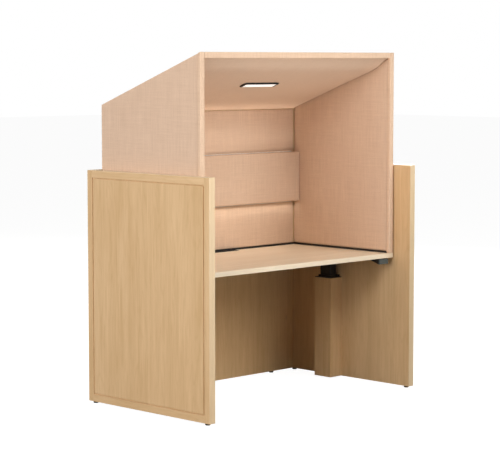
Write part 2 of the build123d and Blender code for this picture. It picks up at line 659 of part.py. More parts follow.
with BuildPart() as worktop:
    desk_y = (DESK_FRONT + BAND_THICKNESS, DESK_REAR)
    block((-DESK_HALF_WIDTH, DESK_HALF_WIDTH), desk_y, (DESK_BOTTOM, DESK_TOP))
    port_x = (-PORT_HALF_WIDTH, PORT_HALF_WIDTH)
    block(port_x, (PORT_FRONT, BACK_LINER_FRONT), (DESK_BOTTOM, DESK_TOP), Mode.SUBTRACT)
    for side in SIDES.values():
        for y in ARM_SCREW_Y:
            hole_low = (ARM_X * side, y, DESK_BOTTOM)
            rod(hole_low, (0, 0, 1), ARM_SCREW_RADIUS, ARM_SCREW_DEPTH, Mode.SUBTRACT)
    for x, y in hood_bolt_spots():
        rod((x, y, DESK_BOTTOM), (0, 0, 1), HOOD_BOLT_RADIUS, DESK_THICKNESS, Mode.SUBTRACT)
save(worktop, "worktop")

with BuildPart() as worktop_front_band:
    band_y = (DESK_FRONT, DESK_FRONT + BAND_THICKNESS)
    block((-DESK_HALF_WIDTH, DESK_HALF_WIDTH), band_y, (DESK_BOTTOM, DESK_TOP))
    fillet(worktop_front_band.edges().filter_by(Axis.X).group_by(Axis.Y)[0], radius=BAND_EDGE)
save(worktop_front_band, "worktop_front_band")

# Black lining of the cable port in the rear of the desk
with BuildPart() as cable_port_liner:
    block(port_x, (PORT_FRONT, BACK_LINER_FRONT), (DESK_BOTTOM, DESK_TOP))
    hole_x = (PORT_WALL - PORT_HALF_WIDTH, PORT_HALF_WIDTH - PORT_WALL)
    hole_y = (PORT_FRONT + PORT_WALL, BACK_LINER_FRONT - PORT_WALL)
    block(hole_x, hole_y, (DESK_BOTTOM, DESK_TOP), Mode.SUBTRACT)
save(cable_port_liner, "cable_port_liner")

with BuildPart() as hood_bolts:
    for x, y in hood_bolt_spots():
        rod((x, y, DESK_BOTTOM - HOOD_BOLT_HEAD), (0, 0, 1), HOOD_BOLT_HEAD_RADIUS, HOOD_BOLT_HEAD)
        shank = RAIL_TOP + HOOD_BOLT_IN_CORE - DESK_BOTTOM
        rod((x, y, DESK_BOTTOM), (0, 0, 1), HOOD_BOLT_RADIUS, shank)
save(hood_bolts, "hood_bolts")

# ---- Hand control ---------------------------------------------------------------------------

with BuildPart() as handset_body:
    wedge = [
        (HANDSET_FRONT, HANDSET_FRONT_LOW),
        (HANDSET_REAR, HANDSET_REAR_LOW),
        (HANDSET_REAR, DESK_BOTTOM),
        (HANDSET_FRONT, DESK_BOTTOM),
    ]
    handset_x = (HANDSET_X - HANDSET_WIDTH / 2, HANDSET_X + HANDSET_WIDTH / 2)
    profile_along_x(handset_x, wedge)
    low_edges = handset_body.edges().filter_by(Axis.X).sort_by(Axis.Z)[0:2]
    fillet(low_edges, radius=HANDSET_EDGE)
    cavity_x = (HANDSET_X - TONGUE_WIDTH / 2 - TONGUE_GAP, HANDSET_X + TONGUE_WIDTH / 2 + TONGUE_GAP)
    cavity_low = PIVOT_Z - TONGUE_HEIGHT / 2 - TONGUE_ROOM_BELOW
    cavity_high = PIVOT_Z + TONGUE_HEIGHT / 2 + TONGUE_ROOM_ABOVE
    cavity_y = (HANDSET_FRONT, TONGUE_REAR + TONGUE_GAP)
    block(cavity_x, cavity_y, (cavity_low, cavity_high), Mode.SUBTRACT)
    bore_length = TONGUE_WIDTH + 2 * (TRUNNION_LENGTH + TRUNNION_END_GAP)
    bore_start = (HANDSET_X - bore_length / 2, PIVOT_Y, PIVOT_Z)
    rod(bore_start, (1, 0, 0), PIVOT_RADIUS + RUNNING_GAP, bore_length, Mode.SUBTRACT)
save(handset_body, "handset_body")

# Paddle that is tipped up or down, with its trunnions in the body's bores
with BuildPart() as handset_paddle:
    block(handset_x, (DESK_FRONT, DESK_FRONT + PADDLE_THICKNESS), (PADDLE_LOW, PADDLE_HIGH))
    fillet(handset_paddle.faces().sort_by(Axis.Y)[0].edges(), radius=PADDLE_EDGE)
    tongue_x = (HANDSET_X - TONGUE_WIDTH / 2, HANDSET_X + TONGUE_WIDTH / 2)
    tongue_z = (PIVOT_Z - TONGUE_HEIGHT / 2, PIVOT_Z + TONGUE_HEIGHT / 2)
    block(tongue_x, (DESK_FRONT + PADDLE_THICKNESS, TONGUE_REAR), tongue_z)
    trunnion_span = TONGUE_WIDTH + 2 * TRUNNION_LENGTH
    trunnion_start = (HANDSET_X - trunnion_span / 2, PIVOT_Y, PIVOT_Z)
    rod(trunnion_start, (1, 0, 0), PIVOT_RADIUS, trunnion_span)
save(handset_paddle, "handset_paddle")

# ---- Hood: walls, roof and linings ----------------------------------------------------------

wall_y = (RIM_REAR, DESK_REAR)
side_core_y = (RIM_REAR, DESK_REAR - EDGE_WRAP)

# Black rails on the desk that the walls stand on
with BuildPart() as base_rails:
    rail_z = (DESK_TOP, RAIL_TOP)
    for side in SIDES.values():
        block(mirrored(HOOD_INNER, SIDE_CORE_OUTER, side), side_core_y, rail_z)
    back_rail_end = HOOD_INNER - JOINT_GAP
    block((-back_rail_end, back_rail_end), (BACK_LINER_FRONT, BACK_CORE_REAR), rail_z)
    for x, y in hood_bolt_spots():
        rod((x, y, DESK_TOP), (0, 0, 1), HOOD_BOLT_RADIUS, RAIL_HEIGHT, Mode.SUBTRACT)
save(base_rails, "base_rails")

with BuildPart() as hood_side_cores:
    for side in SIDES.values():
        core_x = mirrored(SIDE_CORE_INNER, SIDE_CORE_OUTER, side)
        profile_along_x(core_x, under_roof(side_core_y, RAIL_TOP, EDGE_WRAP))
    for x, y in hood_bolt_spots():
        if abs(x) > SIDE_CORE_INNER:
            rod((x, y, RAIL_TOP), (0, 0, 1), HOOD_BOLT_RADIUS, HOOD_BOLT_IN_CORE, Mode.SUBTRACT)
save(hood_side_cores, "hood_side_cores")

for name, side in SIDES.items():
    # Padded outer cover, wrapped over the top and rear edges of the core
    with BuildPart() as side_cover:
        profile_along_x(mirrored(SIDE_CORE_INNER, DESK_HALF_WIDTH, side), under_roof(wall_y, DESK_TOP))
        core_x = mirrored(SIDE_CORE_INNER, SIDE_CORE_OUTER, side)
        profile_along_x(core_x, under_roof(side_core_y, DESK_TOP, EDGE_WRAP), Mode.SUBTRACT)
    save(side_cover, f"hood_{name}_cover")

    # Upholstered lining of the side wall
    with BuildPart() as side_liner:
        liner_x = mirrored(HOOD_INNER, SIDE_CORE_INNER, side)
        liner_y = (RIM_REAR, BACK_CORE_FRONT)
        profile_along_x(liner_x, under_roof(liner_y, RAIL_TOP, ROOF_CORE_LOW_DROP))
    save(side_liner, f"hood_{name}_liner")

back_x = (-SIDE_CORE_INNER, SIDE_CORE_INNER)
with BuildPart() as hood_back_core:
    back_core_y = (BACK_CORE_FRONT, BACK_CORE_REAR)
    profile_along_x(back_x, under_roof(back_core_y, RAIL_TOP, ROOF_CORE_LOW_DROP))
    for x, y in hood_bolt_spots():
        if abs(x) < SIDE_CORE_INNER:
            rod((x, y, RAIL_TOP), (0, 0, 1), HOOD_BOLT_RADIUS, HOOD_BOLT_IN_CORE, Mode.SUBTRACT)
save(hood_back_core, "hood_back_core")

with BuildPart() as hood_back_cover:
    profile_along_x(back_x, under_roof((BACK_CORE_REAR, DESK_REAR), DESK_TOP, ROOF_CORE_LOW_DROP))
save(hood_back_cover, "hood_back_cover")

with BuildPart() as hood_back_liner:
    back_liner_x = (SHADOW_GAP - HOOD_INNER, HOOD_INNER - SHADOW_GAP)
    back_liner_y = (BACK_LINER_FRONT, BACK_CORE_FRONT)
    profile_along_x(back_liner_x, under_roof(back_liner_y, RAIL_TOP, CEILING_DROP + SOFT_GAP))
save(hood_back_liner, "hood_back_liner")

with BuildPart() as hood_roof_core:
    roof_core_y = (RIM_REAR, BACK_CORE_REAR)
    profile_along_x(back_x, beside_roof(roof_core_y, ROOF_CORE_TOP_DROP, ROOF_CORE_LOW_DROP))
save(hood_roof_core, "hood_roof_core")

with BuildPart() as hood_roof_cover:
    profile_along_x(back_x, beside_roof(wall_y, 0.0, ROOF_CORE_LOW_DROP))
    profile_along_x(
        back_x, beside_roof(roof_core_y, ROOF_CORE_TOP_DROP, ROOF_CORE_LOW_DROP), Mode.SUBTRACT
    )
save(hood_roof_cover, "hood_roof_cover")

# The light's plane lies in the ceiling: local Y points up the slope to the front, Z down
light_plane = Plane(
    origin=(0, LIGHT_Y, roof(LIGHT_Y, CEILING_DROP)),
    x_dir=(1, 0, 0),
    z_dir=(0, -math.sin(ROOF_ANGLE), -math.cos(ROOF_ANGLE)),
)
light_x = (-LIGHT_BODY_LENGTH / 2, LIGHT_BODY_LENGTH / 2)
light_y = (-LIGHT_BODY_DEPTH / 2, LIGHT_BODY_DEPTH / 2)

# Soft ceiling with a rounded nose behind the front rim, recessed for the light
with BuildPart() as hood_ceiling_pad:
    nose_top = roof(RIM_REAR, ROOF_CORE_LOW_DROP)
    nose_rear = RIM_REAR + NOSE_LENGTH
    ceiling_rear = BACK_CORE_FRONT
    with BuildSketch(Plane.YZ.offset(-HOOD_INNER + SOFT_GAP)) as ceiling_outline:
        with BuildLine():
            nose_start = (RIM_REAR, nose_top - NOSE_START_DROP)
            nose_middle = (RIM_REAR + NOSE_LENGTH * NOSE_MIDDLE_SHARE, nose_top - NOSE_MIDDLE_DROP)
            nose_end = (nose_rear, roof(nose_rear, CEILING_DROP))
            start_slope = (1.0, NOSE_START_SLOPE)
            end_slope = (1.0, -HOOD_FALL)
            Spline(nose_start, nose_middle, nose_end, tangents=(start_slope, end_slope))
            Polyline(
                nose_end,
                (ceiling_rear, roof(ceiling_rear, CEILING_DROP)),
                (ceiling_rear, roof(ceiling_rear, ROOF_CORE_LOW_DROP)),
                (RIM_REAR, nose_top),
                nose_start,
            )
        make_face()
    extrude(amount=2 * (HOOD_INNER - SOFT_GAP))
    plate(light_plane, light_x, light_y, (-LIGHT_BODY_HEIGHT, 0), Mode.SUBTRACT)
save(hood_ceiling_pad, "hood_ceiling_pad")

# ---- Hood: front rim ------------------------------------------------------------------------

top_rim_low = roof(RIM_REAR, ROOF_CORE_LOW_DROP)
rim_y = (DESK_FRONT, RIM_REAR)
batten_y = (DESK_FRONT + RIM_WRAP, RIM_REAR)
top_batten_low = top_rim_low + RIM_WRAP
top_x = (JOINT_GAP - HOOD_INNER, HOOD_INNER - JOINT_GAP)

# Timber battens inside the rim: two uprights and the top rail
with BuildPart() as rim_battens:
    for side in SIDES.values():
        batten_x = mirrored(HOOD_INNER + RIM_WRAP, DESK_HALF_WIDTH - RIM_WRAP, side)
        profile_along_x(batten_x, under_roof(batten_y, DESK_TOP + RIM_WRAP, RIM_WRAP))
    profile_along_x(top_x, under_roof(batten_y, top_batten_low, RIM_WRAP))
save(rim_battens, "rim_battens")

# Fabric wrapped round the front, edges and ends of each batten
with BuildPart() as rim_covers:
    for side in SIDES.values():
        cover_x = mirrored(HOOD_INNER, DESK_HALF_WIDTH, side)
        profile_along_x(cover_x, under_roof(rim_y, DESK_TOP))
    profile_along_x(top_x, under_roof(rim_y, top_rim_low))
    for side in SIDES.values():
        batten_x = mirrored(HOOD_INNER + RIM_WRAP, DESK_HALF_WIDTH - RIM_WRAP, side)
        batten = under_roof(batten_y, DESK_TOP + RIM_WRAP, RIM_WRAP)
        profile_along_x(batten_x, batten, Mode.SUBTRACT)
    profile_along_x(top_x, under_roof(batten_y, top_batten_low, RIM_WRAP), Mode.SUBTRACT)
save(rim_covers, "rim_covers")

# ---- Hood: tackboard and lights -------------------------------------------------------------

board_x = (TACKBOARD_END_GAP - HOOD_INNER, HOOD_INNER - TACKBOARD_END_GAP)
board_y = (TACKBOARD_FRONT + TACKBOARD_WRAP, TACKBOARD_REAR)
board_core_x = (board_x[0] + TACKBOARD_WRAP, board_x[1] - TACKBOARD_WRAP)
board_core_z = (TACKBOARD_LOW + TACKBOARD_WRAP, TACKBOARD_HIGH - TACKBOARD_WRAP)

with BuildPart() as tackboard_core:
    block(board_core_x, board_y, board_core_z)
save(tackboard_core, "tackboard_core")

with BuildPart() as tackboard_cover:
    block(board_x, (TACKBOARD_FRONT, TACKBOARD_REAR), (TACKBOARD_LOW, TACKBOARD_HIGH))
    block(board_core_x, board_y, board_core_z, Mode.SUBTRACT)
save(tackboard_cover, "tackboard_cover")

with BuildPart() as tackboard_spacers:
    for x in SPACER_X:
        for z in SPACER_Z:
            spacer_x = (x - SPACER_WIDTH / 2, x + SPACER_WIDTH / 2)
            spacer_z = (z - SPACER_HEIGHT / 2, z + SPACER_HEIGHT / 2)
            block(spacer_x, (TACKBOARD_REAR, BACK_LINER_FRONT), spacer_z)
save(tackboard_spacers, "tackboard_spacers")

# A channel along the upper and the lower edge, open upward and downward and just proud of them
strip_x = (-STRIP_HALF_LENGTH, STRIP_HALF_LENGTH)
strip_y = (TACKBOARD_REAR, TACKBOARD_REAR + STRIP_DEPTH)
strip_slot_y = (strip_y[0] + STRIP_WALL, strip_y[1] - STRIP_WALL)
strip_mouths = {1: TACKBOARD_HIGH + STRIP_PROUD, -1: TACKBOARD_LOW - STRIP_PROUD}

with BuildPart() as light_channels:
    for facing, mouth in strip_mouths.items():
        base = mouth - facing * STRIP_HEIGHT
        floor = base + facing * STRIP_WALL
        block(strip_x, strip_y, tuple(sorted((base, mouth))))
        block(strip_x, strip_slot_y, tuple(sorted((floor, mouth))), Mode.SUBTRACT)
save(light_channels, "light_channels")

with BuildPart() as light_channel_lenses:
    for facing, mouth in strip_mouths.items():
        block(strip_x, strip_slot_y, tuple(sorted((mouth - facing * STRIP_LENS, mouth))))
save(light_channel_lenses, "light_channel_lenses")

# Ceiling light: a housing in the pad with a bezel below it, and a lens set towards the rear
lens_x = (-LENS_LENGTH / 2, LENS_LENGTH / 2)
lens_y = (-LENS_SETBACK - LENS_DEPTH / 2, -LENS_SETBACK + LENS_DEPTH / 2)

with BuildPart() as ceiling_light_housing:
    bezel_x = (-LIGHT_LENGTH / 2, LIGHT_LENGTH / 2)
    plate(light_plane, bezel_x, (-LIGHT_DEPTH / 2, LIGHT_DEPTH / 2), (0, LIGHT_DROP))
    plate(light_plane, light_x, light_y, (-LIGHT_BODY_HEIGHT, 0))
    plate(light_plane, lens_x, lens_y, (LIGHT_DROP - LENS_THICKNESS, LIGHT_DROP), Mode.SUBTRACT)
save(ceiling_light_housing, "ceiling_light_housing")

with BuildPart() as ceiling_light_lens:
    plate(light_plane, lens_x, lens_y, (LIGHT_DROP - LENS_THICKNESS, LIGHT_DROP))
save(ceiling_light_lens, "ceiling_light_lens")
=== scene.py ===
"""Looks of the study carrel: finishes, upholstery, lights, floor and camera."""

import math

import bmesh
import bpy
import numpy as np
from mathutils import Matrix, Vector


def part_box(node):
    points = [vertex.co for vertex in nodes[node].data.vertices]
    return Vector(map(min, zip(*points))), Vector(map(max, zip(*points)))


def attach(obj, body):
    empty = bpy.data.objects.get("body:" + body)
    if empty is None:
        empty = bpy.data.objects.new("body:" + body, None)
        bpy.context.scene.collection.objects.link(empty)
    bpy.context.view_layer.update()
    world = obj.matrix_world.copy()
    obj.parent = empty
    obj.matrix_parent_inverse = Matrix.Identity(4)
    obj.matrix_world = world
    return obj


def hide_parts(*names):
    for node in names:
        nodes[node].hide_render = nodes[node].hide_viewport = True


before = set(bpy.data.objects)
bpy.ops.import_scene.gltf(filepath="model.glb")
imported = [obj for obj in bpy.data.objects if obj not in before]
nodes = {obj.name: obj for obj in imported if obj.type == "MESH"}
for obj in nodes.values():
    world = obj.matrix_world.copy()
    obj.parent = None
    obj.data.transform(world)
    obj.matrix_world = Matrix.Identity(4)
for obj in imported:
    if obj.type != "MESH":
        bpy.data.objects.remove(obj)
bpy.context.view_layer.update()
scene = bpy.context.scene
scene.view_settings.view_transform = "Standard"

# Lengths are in metres throughout


# ---- Material helpers ------------------------------------------------------------------------


class Finish:
    """A procedural material while its nodes are being joined up."""

    def __init__(self, name):
        self.material = bpy.data.materials.new(name)
        self.material.use_nodes = True
        self.tree = self.material.node_tree
        self.tree.nodes.clear()
        self.output = self.node("ShaderNodeOutputMaterial")
        self.shader = self.node("ShaderNodeBsdfPrincipled")
        self.tree.links.new(self.shader.outputs["BSDF"], self.output.inputs["Surface"])

    def node(self, kind, feeds=None, **settings):
        made = self.tree.nodes.new(kind)
        for key, value in settings.items():
            setattr(made, key, value)
        for key, value in (feeds or {}).items():
            self.feed(made.inputs[key], value)
        return made

    def feed(self, socket, value):
        if isinstance(value, bpy.types.NodeSocket):
            self.tree.links.new(value, socket)
        else:
            socket.default_value = value

    def surface(self, **values):
        """Set or link sockets of the shader; an underscore stands for a space."""
        for key, value in values.items():
            self.feed(self.shader.inputs[key.replace("_", " ")], value)

    def sum(self, operation, a, b=0.0, c=0.0):
        return self.node("ShaderNodeMath", {0: a, 1: b, 2: c}, operation=operation).outputs[0]

    def place(self):
        return self.node("ShaderNodeTexCoord").outputs["Object"]

    def facing(self):
        return self.node("ShaderNodeTexCoord").outputs["Normal"]

    def split(self, vector):
        return self.node("ShaderNodeSeparateXYZ", {0: vector}).outputs[:]

    def join(self, x=0.0, y=0.0, z=0.0):
        return self.node("ShaderNodeCombineXYZ", {0: x, 1: y, 2: z}).outputs[0]

    def vector(self, operation, a, b):
        return self.node("ShaderNodeVectorMath", {0: a, 1: b}, operation=operation).outputs[0]

    def noise(self, vector, size, detail, roughness=0.5):
        """Noise with its own number of cycles per metre along each axis."""
        feeds = {"Vector": self.vector("MULTIPLY", vector, size), "Scale": 1.0}
        feeds.update({"Detail": detail, "Roughness": roughness})
        return self.node("ShaderNodeTexNoise", feeds).outputs[0]

    def choose(self, mask, a, b):
        """a where the mask is 0 and b where it is 1, for vectors."""
        feeds = {0: mask, 4: a, 5: b}
        return self.node("ShaderNodeMix", feeds, data_type="VECTOR").outputs[1]

    def level(self, mask, a, b):
        """a where the mask is 0 and b where it is 1, for numbers."""
        return self.node("ShaderNodeMix", {0: mask, 2: a, 3: b}, data_type="FLOAT").outputs[0]

    def tint(self, mask, a, b):
        """Colour a where the mask is 0 and colour b where it is 1."""
        feeds = {0: mask, 6: a, 7: b}
        return self.node("ShaderNodeMix", feeds, data_type="RGBA").outputs[2]

    def blend(self, tone, parts):
        """A tone that each part moves up and down by its share, about the part's middle."""
        for part, share in parts:
            swing = self.sum("MULTIPLY", self.sum("SUBTRACT", part, 0.5), share)
            tone = self.sum("ADD", tone, swing)
        return tone

    def uneven(self, part, middle, swing):
        """A level about a middle value, such as a roughness, that follows a part."""
        return self.sum("MULTIPLY_ADD", part, swing, middle - swing / 2)

    def relief(self, height, depth, strength=1.0):
        feeds = {"Height": height, "Distance": depth, "Strength": strength}
        return self.node("ShaderNodeBump", feeds).outputs[0]


def rgba(red, green, blue):
    return (red, green, blue, 1.0)


def darker(colour, share):
    return rgba(*(share * part for part in colour))


# Where the veneer's grain turns on the panels
REVEAL = 0.006
BAND_DEPTH = 0.0025
BAND_SLACK = 0.001
panel_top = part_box("panel_edge_bands")[1].z
side_inner = -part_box("left_panel_core")[1].x
side_stile_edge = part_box("left_inset_panel")[1].y + REVEAL
back_stile_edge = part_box("back_inset_panel")[1].x + REVEAL

# Noises of the veneer: cycles per metre across the grain twice and along it, detail, roughness
BLOTCH = ((9.0, 9.0, 2.2), 4.0, 0.6)
BAND = ((22.0, 22.0, 0.9), 3.0, 0.5)
STREAK = ((75.0, 75.0, 3.0), 5.0, 0.68)
FINE = ((420.0, 420.0, 12.0), 3.0, 0.6)
HAIR = ((1700.0, 1700.0, 32.0), 2.0, 0.5)
WANDER = ((11.0, 11.0, 1.5), 3.0, 0.55)
WOOD_TONE = 0.56
BAND_SHARE, STREAK_SHARE, FINE_SHARE, BLOTCH_SHARE, LEAF_SHARE = 1.25, 1.35, 0.35, 1.2, 0.2

# Leaves of veneer: where the first joint falls, and how far apart the leaves are cut in the log
LEAF_START = 0.37
LEAF_APART = 19.0

# Growth rings: bend of the arches, rings per metre along the grain, and how much they wander
ARCH_BEND = 230.0
RINGS_ALONG = 1.6
RING_WANDER = 8.0
LATE_WOOD_SHARPNESS, LATE_WOOD_SHARE = 4.0, 0.22

# Pin knots: cells per metre, share of cells without one, radius of core and halo, depth of colour
KNOT_CELLS = (5.5, 5.5, 2.6)
KNOT_RARITY = 0.62
KNOT_CORE, KNOT_HALO = 0.012, 0.075
KNOT_SHARE, KNOT_DARKNESS = 0.5, 0.42
PORE_LEVEL, PORE_SHARE, PORE_DARKNESS = 0.66, 0.15, 0.62


def wood(name, pale, deep, grain="upright", leaf=0.23, rough=0.44, coat=0.1):
    """Lacquered veneer in leaves of one width, with the grain upright, along x or by member."""
    f = Finish(name)
    x, y, z = f.split(f.place())
    upright = f.join(x, y, z)
    along_y = f.join(x, z, y)
    along_x = f.join(y, z, x)
    if grain == "along_x":
        fibre = along_x
    elif grain == "side_frame":
        rail = f.sum("LESS_THAN", f.sum("ABSOLUTE", y), side_stile_edge)
        fibre = f.choose(rail, upright, along_y)
    elif grain == "back_frame":
        rail = f.sum("LESS_THAN", f.sum("ABSOLUTE", x), back_stile_edge)
        fibre = f.choose(rail, upright, along_x)
    elif grain == "edges":
        on_side = f.sum("GREATER_THAN", f.sum("ABSOLUTE", x), side_inner - BAND_SLACK)
        on_top = f.sum("GREATER_THAN", z, panel_top - BAND_DEPTH)
        fibre = f.choose(on_top, upright, f.choose(on_side, along_x, along_y))
    else:
        fibre = upright
    across_a, across_b, along = f.split(fibre)
    across = f.sum("ADD", across_a, across_b)

    # Leaves of veneer side by side, each from another part of the log
    leaf_place = f.sum("ADD", f.sum("DIVIDE", across, leaf), LEAF_START)
    leaf_number = f.sum("FLOOR", leaf_place)
    leaf_chance = f.node(
        "ShaderNodeTexWhiteNoise", {"W": leaf_number}, noise_dimensions="1D"
    ).outputs[0]
    shift = f.sum("MULTIPLY", leaf_chance, LEAF_APART)
    shifted = f.vector("ADD", fibre, f.join(shift, shift, shift))
    blotch, band, streak, fine, hair, wander = (
        f.noise(shifted, *kind) for kind in (BLOTCH, BAND, STREAK, FINE, HAIR, WANDER)
    )

    # Growth rings: arches down the middle of a leaf that straighten towards its edges
    offset = f.sum("MULTIPLY", f.sum("SUBTRACT", f.sum("FRACT", leaf_place), 0.5), leaf)
    arch = f.sum("MULTIPLY", f.sum("MULTIPLY", offset, offset), ARCH_BEND)
    run = f.sum(
        "ADD", f.sum("MULTIPLY", along, RINGS_ALONG), f.sum("MULTIPLY", wander, RING_WANDER)
    )
    turns = f.sum("MULTIPLY", f.sum("ADD", arch, run), 2.0 * math.pi)
    ring = f.sum("MULTIPLY_ADD", f.sum("SINE", turns), 0.5, 0.5)
    late_wood = f.sum("POWER", ring, LATE_WOOD_SHARPNESS)

    # A pin knot in some cells, darkest in its middle
    knot_cell = f.node(
        "ShaderNodeTexVoronoi", {"Vector": f.vector("MULTIPLY", shifted, KNOT_CELLS), "Scale": 1.0}
    )
    knot_chance = f.sum("GREATER_THAN", f.split(knot_cell.outputs["Color"])[0], KNOT_RARITY)
    feeds = {0: knot_cell.outputs["Distance"], 1: KNOT_CORE, 2: KNOT_HALO, 3: 1.0, 4: 0.0}
    knot_core = f.node("ShaderNodeMapRange", feeds).outputs[0]
    knot = f.sum("MULTIPLY", f.sum("MULTIPLY", knot_core, knot_core), knot_chance)

    parts = (
        (band, BAND_SHARE), (streak, STREAK_SHARE), (fine, FINE_SHARE), (blotch, BLOTCH_SHARE),
        (leaf_chance, LEAF_SHARE),
    )
    late = f.sum("MULTIPLY", late_wood, LATE_WOOD_SHARE)
    tone = f.sum("SUBTRACT", f.blend(WOOD_TONE, parts), late)
    colour = f.tint(tone, rgba(*deep), rgba(*pale))
    pore = f.sum("MULTIPLY", f.sum("GREATER_THAN", hair, PORE_LEVEL), PORE_SHARE)
    pored = f.tint(pore, colour, darker(deep, PORE_DARKNESS))
    knotted = f.tint(f.sum("MULTIPLY", knot, KNOT_SHARE), pored, darker(deep, KNOT_DARKNESS))
    height = f.sum("ADD", f.sum("MULTIPLY", hair, 0.6), f.sum("MULTIPLY", fine, 0.5))
    f.surface(Base_Color=knotted, Roughness=f.uneven(streak, rough, 0.12))
    f.surface(Normal=f.relief(height, 0.00006), Coat_Weight=coat, Coat_Roughness=0.3)
    return f.material


# Fabric: yarns per metre both ways, and how flat a yarn lies along its length
YARNS = 900.0
YARN_FLATNESS = 0.35

# Noises of the yarns: cycles per metre across and along the yarn, detail, seeds of warp and weft
YARN = ((800.0, 14.0), 2.0, (0.0, 0.0))
SLUB = ((190.0, 7.0), 3.0, (3.0, 8.0))
BAR = ((62.0, 1.6), 2.0, (5.0, 9.0))
YARN_ROUGHNESS = 0.6
CLOUD = ((5.0, 5.0, 5.0), 3.0)

# Shares in the tone of yarn, warp slub, weft slub, warp bar, weft bar and cloud
FABRIC_TONE = 0.5
FABRIC_SHARES = (1.3, 1.6, 1.2, 0.6, 0.45, 0.35)
# Painted shade in the hollows between yarns: its share, and how dark it is against the base colour
GAP_SHADE_SHARE, GAP_SHADE_DARKNESS = 0.34, 0.55
SLUB_RELIEF = 0.9


def fabric(name, base, shade, light, slub=1.0):
    """Plain linen weave in the plane of the surface, with uneven yarns and slubs both ways."""
    f = Finish(name)
    x, y, z = f.split(f.place())
    nx, ny, nz = (f.sum("ABSOLUTE", part) for part in f.split(f.facing()))
    on_x = f.sum("GREATER_THAN", nx, f.sum("MAXIMUM", ny, nz))
    on_z = f.sum("GREATER_THAN", nz, f.sum("MAXIMUM", nx, ny))
    across = f.level(on_x, x, y)
    up = f.level(on_z, z, y)

    warp_place = f.sum("MULTIPLY", across, YARNS)
    weft_place = f.sum("MULTIPLY", up, YARNS)
    crossing = f.sum("ADD", f.sum("FLOOR", warp_place), f.sum("FLOOR", weft_place))
    over = f.sum("ABSOLUTE", f.sum("MODULO", crossing, 2.0))
    warp_round, weft_round = (
        f.sum("ABSOLUTE", f.sum("SINE", f.sum("MULTIPLY", spot, math.pi)))
        for spot in (warp_place, weft_place)
    )
    warp_height = f.sum("MULTIPLY", warp_round, f.sum("POWER", weft_round, YARN_FLATNESS))
    weft_height = f.sum("MULTIPLY", weft_round, f.sum("POWER", warp_round, YARN_FLATNESS))
    weave = f.level(over, warp_height, weft_height)

    def both_ways(size, detail, seeds):
        """Noise drawn out along the warp, and the same along the weft."""
        flat = f.join(across, up)
        for (a, b), seed in zip((size, size[::-1]), seeds):
            moved = f.vector("ADD", f.vector("MULTIPLY", flat, (a, b, 0.0)), (0.0, 0.0, seed))
            yield f.noise(moved, (1.0, 1.0, 1.0), detail, YARN_ROUGHNESS)

    yarn = f.level(over, *both_ways(*YARN))
    warp_slub, weft_slub = both_ways(*SLUB)
    warp_bar, weft_bar = both_ways(*BAR)
    parts = (yarn, warp_slub, weft_slub, warp_bar, weft_bar, f.noise(f.place(), *CLOUD))
    shares = (slub * share for share in FABRIC_SHARES)
    colour = f.tint(f.blend(FABRIC_TONE, zip(parts, shares)), rgba(*shade), rgba(*light))
    # Painted shade: the colour darkens where the weave lies low, between the yarns
    gap_shade = f.sum("MULTIPLY", f.sum("SUBTRACT", 1.0, weave), GAP_SHADE_SHARE)
    height = f.sum(
        "ADD", weave, f.sum("MULTIPLY", f.sum("ADD", warp_slub, weft_slub), SLUB_RELIEF)
    )
    f.surface(Base_Color=f.tint(gap_shade, colour, darker(base, GAP_SHADE_DARKNESS)))
    f.surface(Normal=f.relief(height, 0.00022, 0.8), Roughness=0.92, Specular_IOR_Level=0.2)
    f.surface(Sheen_Weight=0.12, Sheen_Roughness=0.5)
    return f.material


SKIN_SIZE, FINE_SKIN_SIZE = 1400.0, 2600.0
PATCH = ((18.0, 18.0, 18.0), 3.0)
PATCH_SHARE, SKIN_SHARE = 0.6, 0.4
COAT_CONTRAST = 0.1


def coated(name, colour, rough, skin_size=SKIN_SIZE, depth=0.00005):
    """Powder coat, anodising or moulded plastic: a fine skin with slightly uneven gloss."""
    f = Finish(name)
    skin = f.noise(f.place(), (skin_size,) * 3, 2.0)
    patch = f.noise(f.place(), *PATCH)
    tone = f.sum("MULTIPLY_ADD", patch, PATCH_SHARE, f.sum("MULTIPLY", skin, SKIN_SHARE))
    bright = rgba(*(min(1.0, (1.0 + COAT_CONTRAST) * part + 0.002) for part in colour))
    f.surface(Base_Color=f.tint(tone, darker(colour, 1.0 - COAT_CONTRAST), bright))
    f.surface(Roughness=f.uneven(patch, rough, 0.14), Normal=f.relief(skin, depth))
    return f.material


ALONG_HAIRLINES, ACROSS_HAIRLINES = 30.0, 2200.0
METAL_PATCH = ((25.0, 25.0, 25.0), 2.0)
HAIRLINE_DARKNESS = 0.82


def brushed(name, colour, rough, direction):
    """Turned or brushed metal with hairlines along one axis."""
    f = Finish(name)
    size = tuple(ALONG_HAIRLINES if axis == direction else ACROSS_HAIRLINES for axis in "xyz")
    lines = f.noise(f.place(), size, 3.0)
    patch = f.noise(f.place(), *METAL_PATCH)
    f.surface(Base_Color=f.tint(lines, darker(colour, HAIRLINE_DARKNESS), rgba(*colour)))
    f.surface(Roughness=f.uneven(patch, rough, 0.2), Normal=f.relief(lines, 0.00003))
    f.surface(Metallic=1.0)
    return f.material


DIODE_PITCH = 0.0167
DIODE_SHARE = 0.06
FROST = ((900.0, 900.0, 900.0), 2.0)


def diffuser(name, colour, strength):
    """Opal strip over a row of light emitting diodes, a little brighter over each one."""
    f = Finish(name)
    x = f.split(f.place())[0]
    turns = f.sum("MULTIPLY", x, 2.0 * math.pi / DIODE_PITCH)
    wave = f.sum("MULTIPLY_ADD", f.sum("SINE", turns), 0.5, 0.5)
    steady = (1.0 - DIODE_SHARE) * strength
    glow = f.sum("MULTIPLY_ADD", wave, DIODE_SHARE * strength, steady)
    frost = f.noise(f.place(), *FROST)
    f.surface(Base_Color=f.tint(frost, rgba(0.84, 0.83, 0.8), rgba(0.93, 0.92, 0.9)))
    f.surface(Emission_Strength=glow, Emission_Color=rgba(*colour), Roughness=0.45)
    return f.material


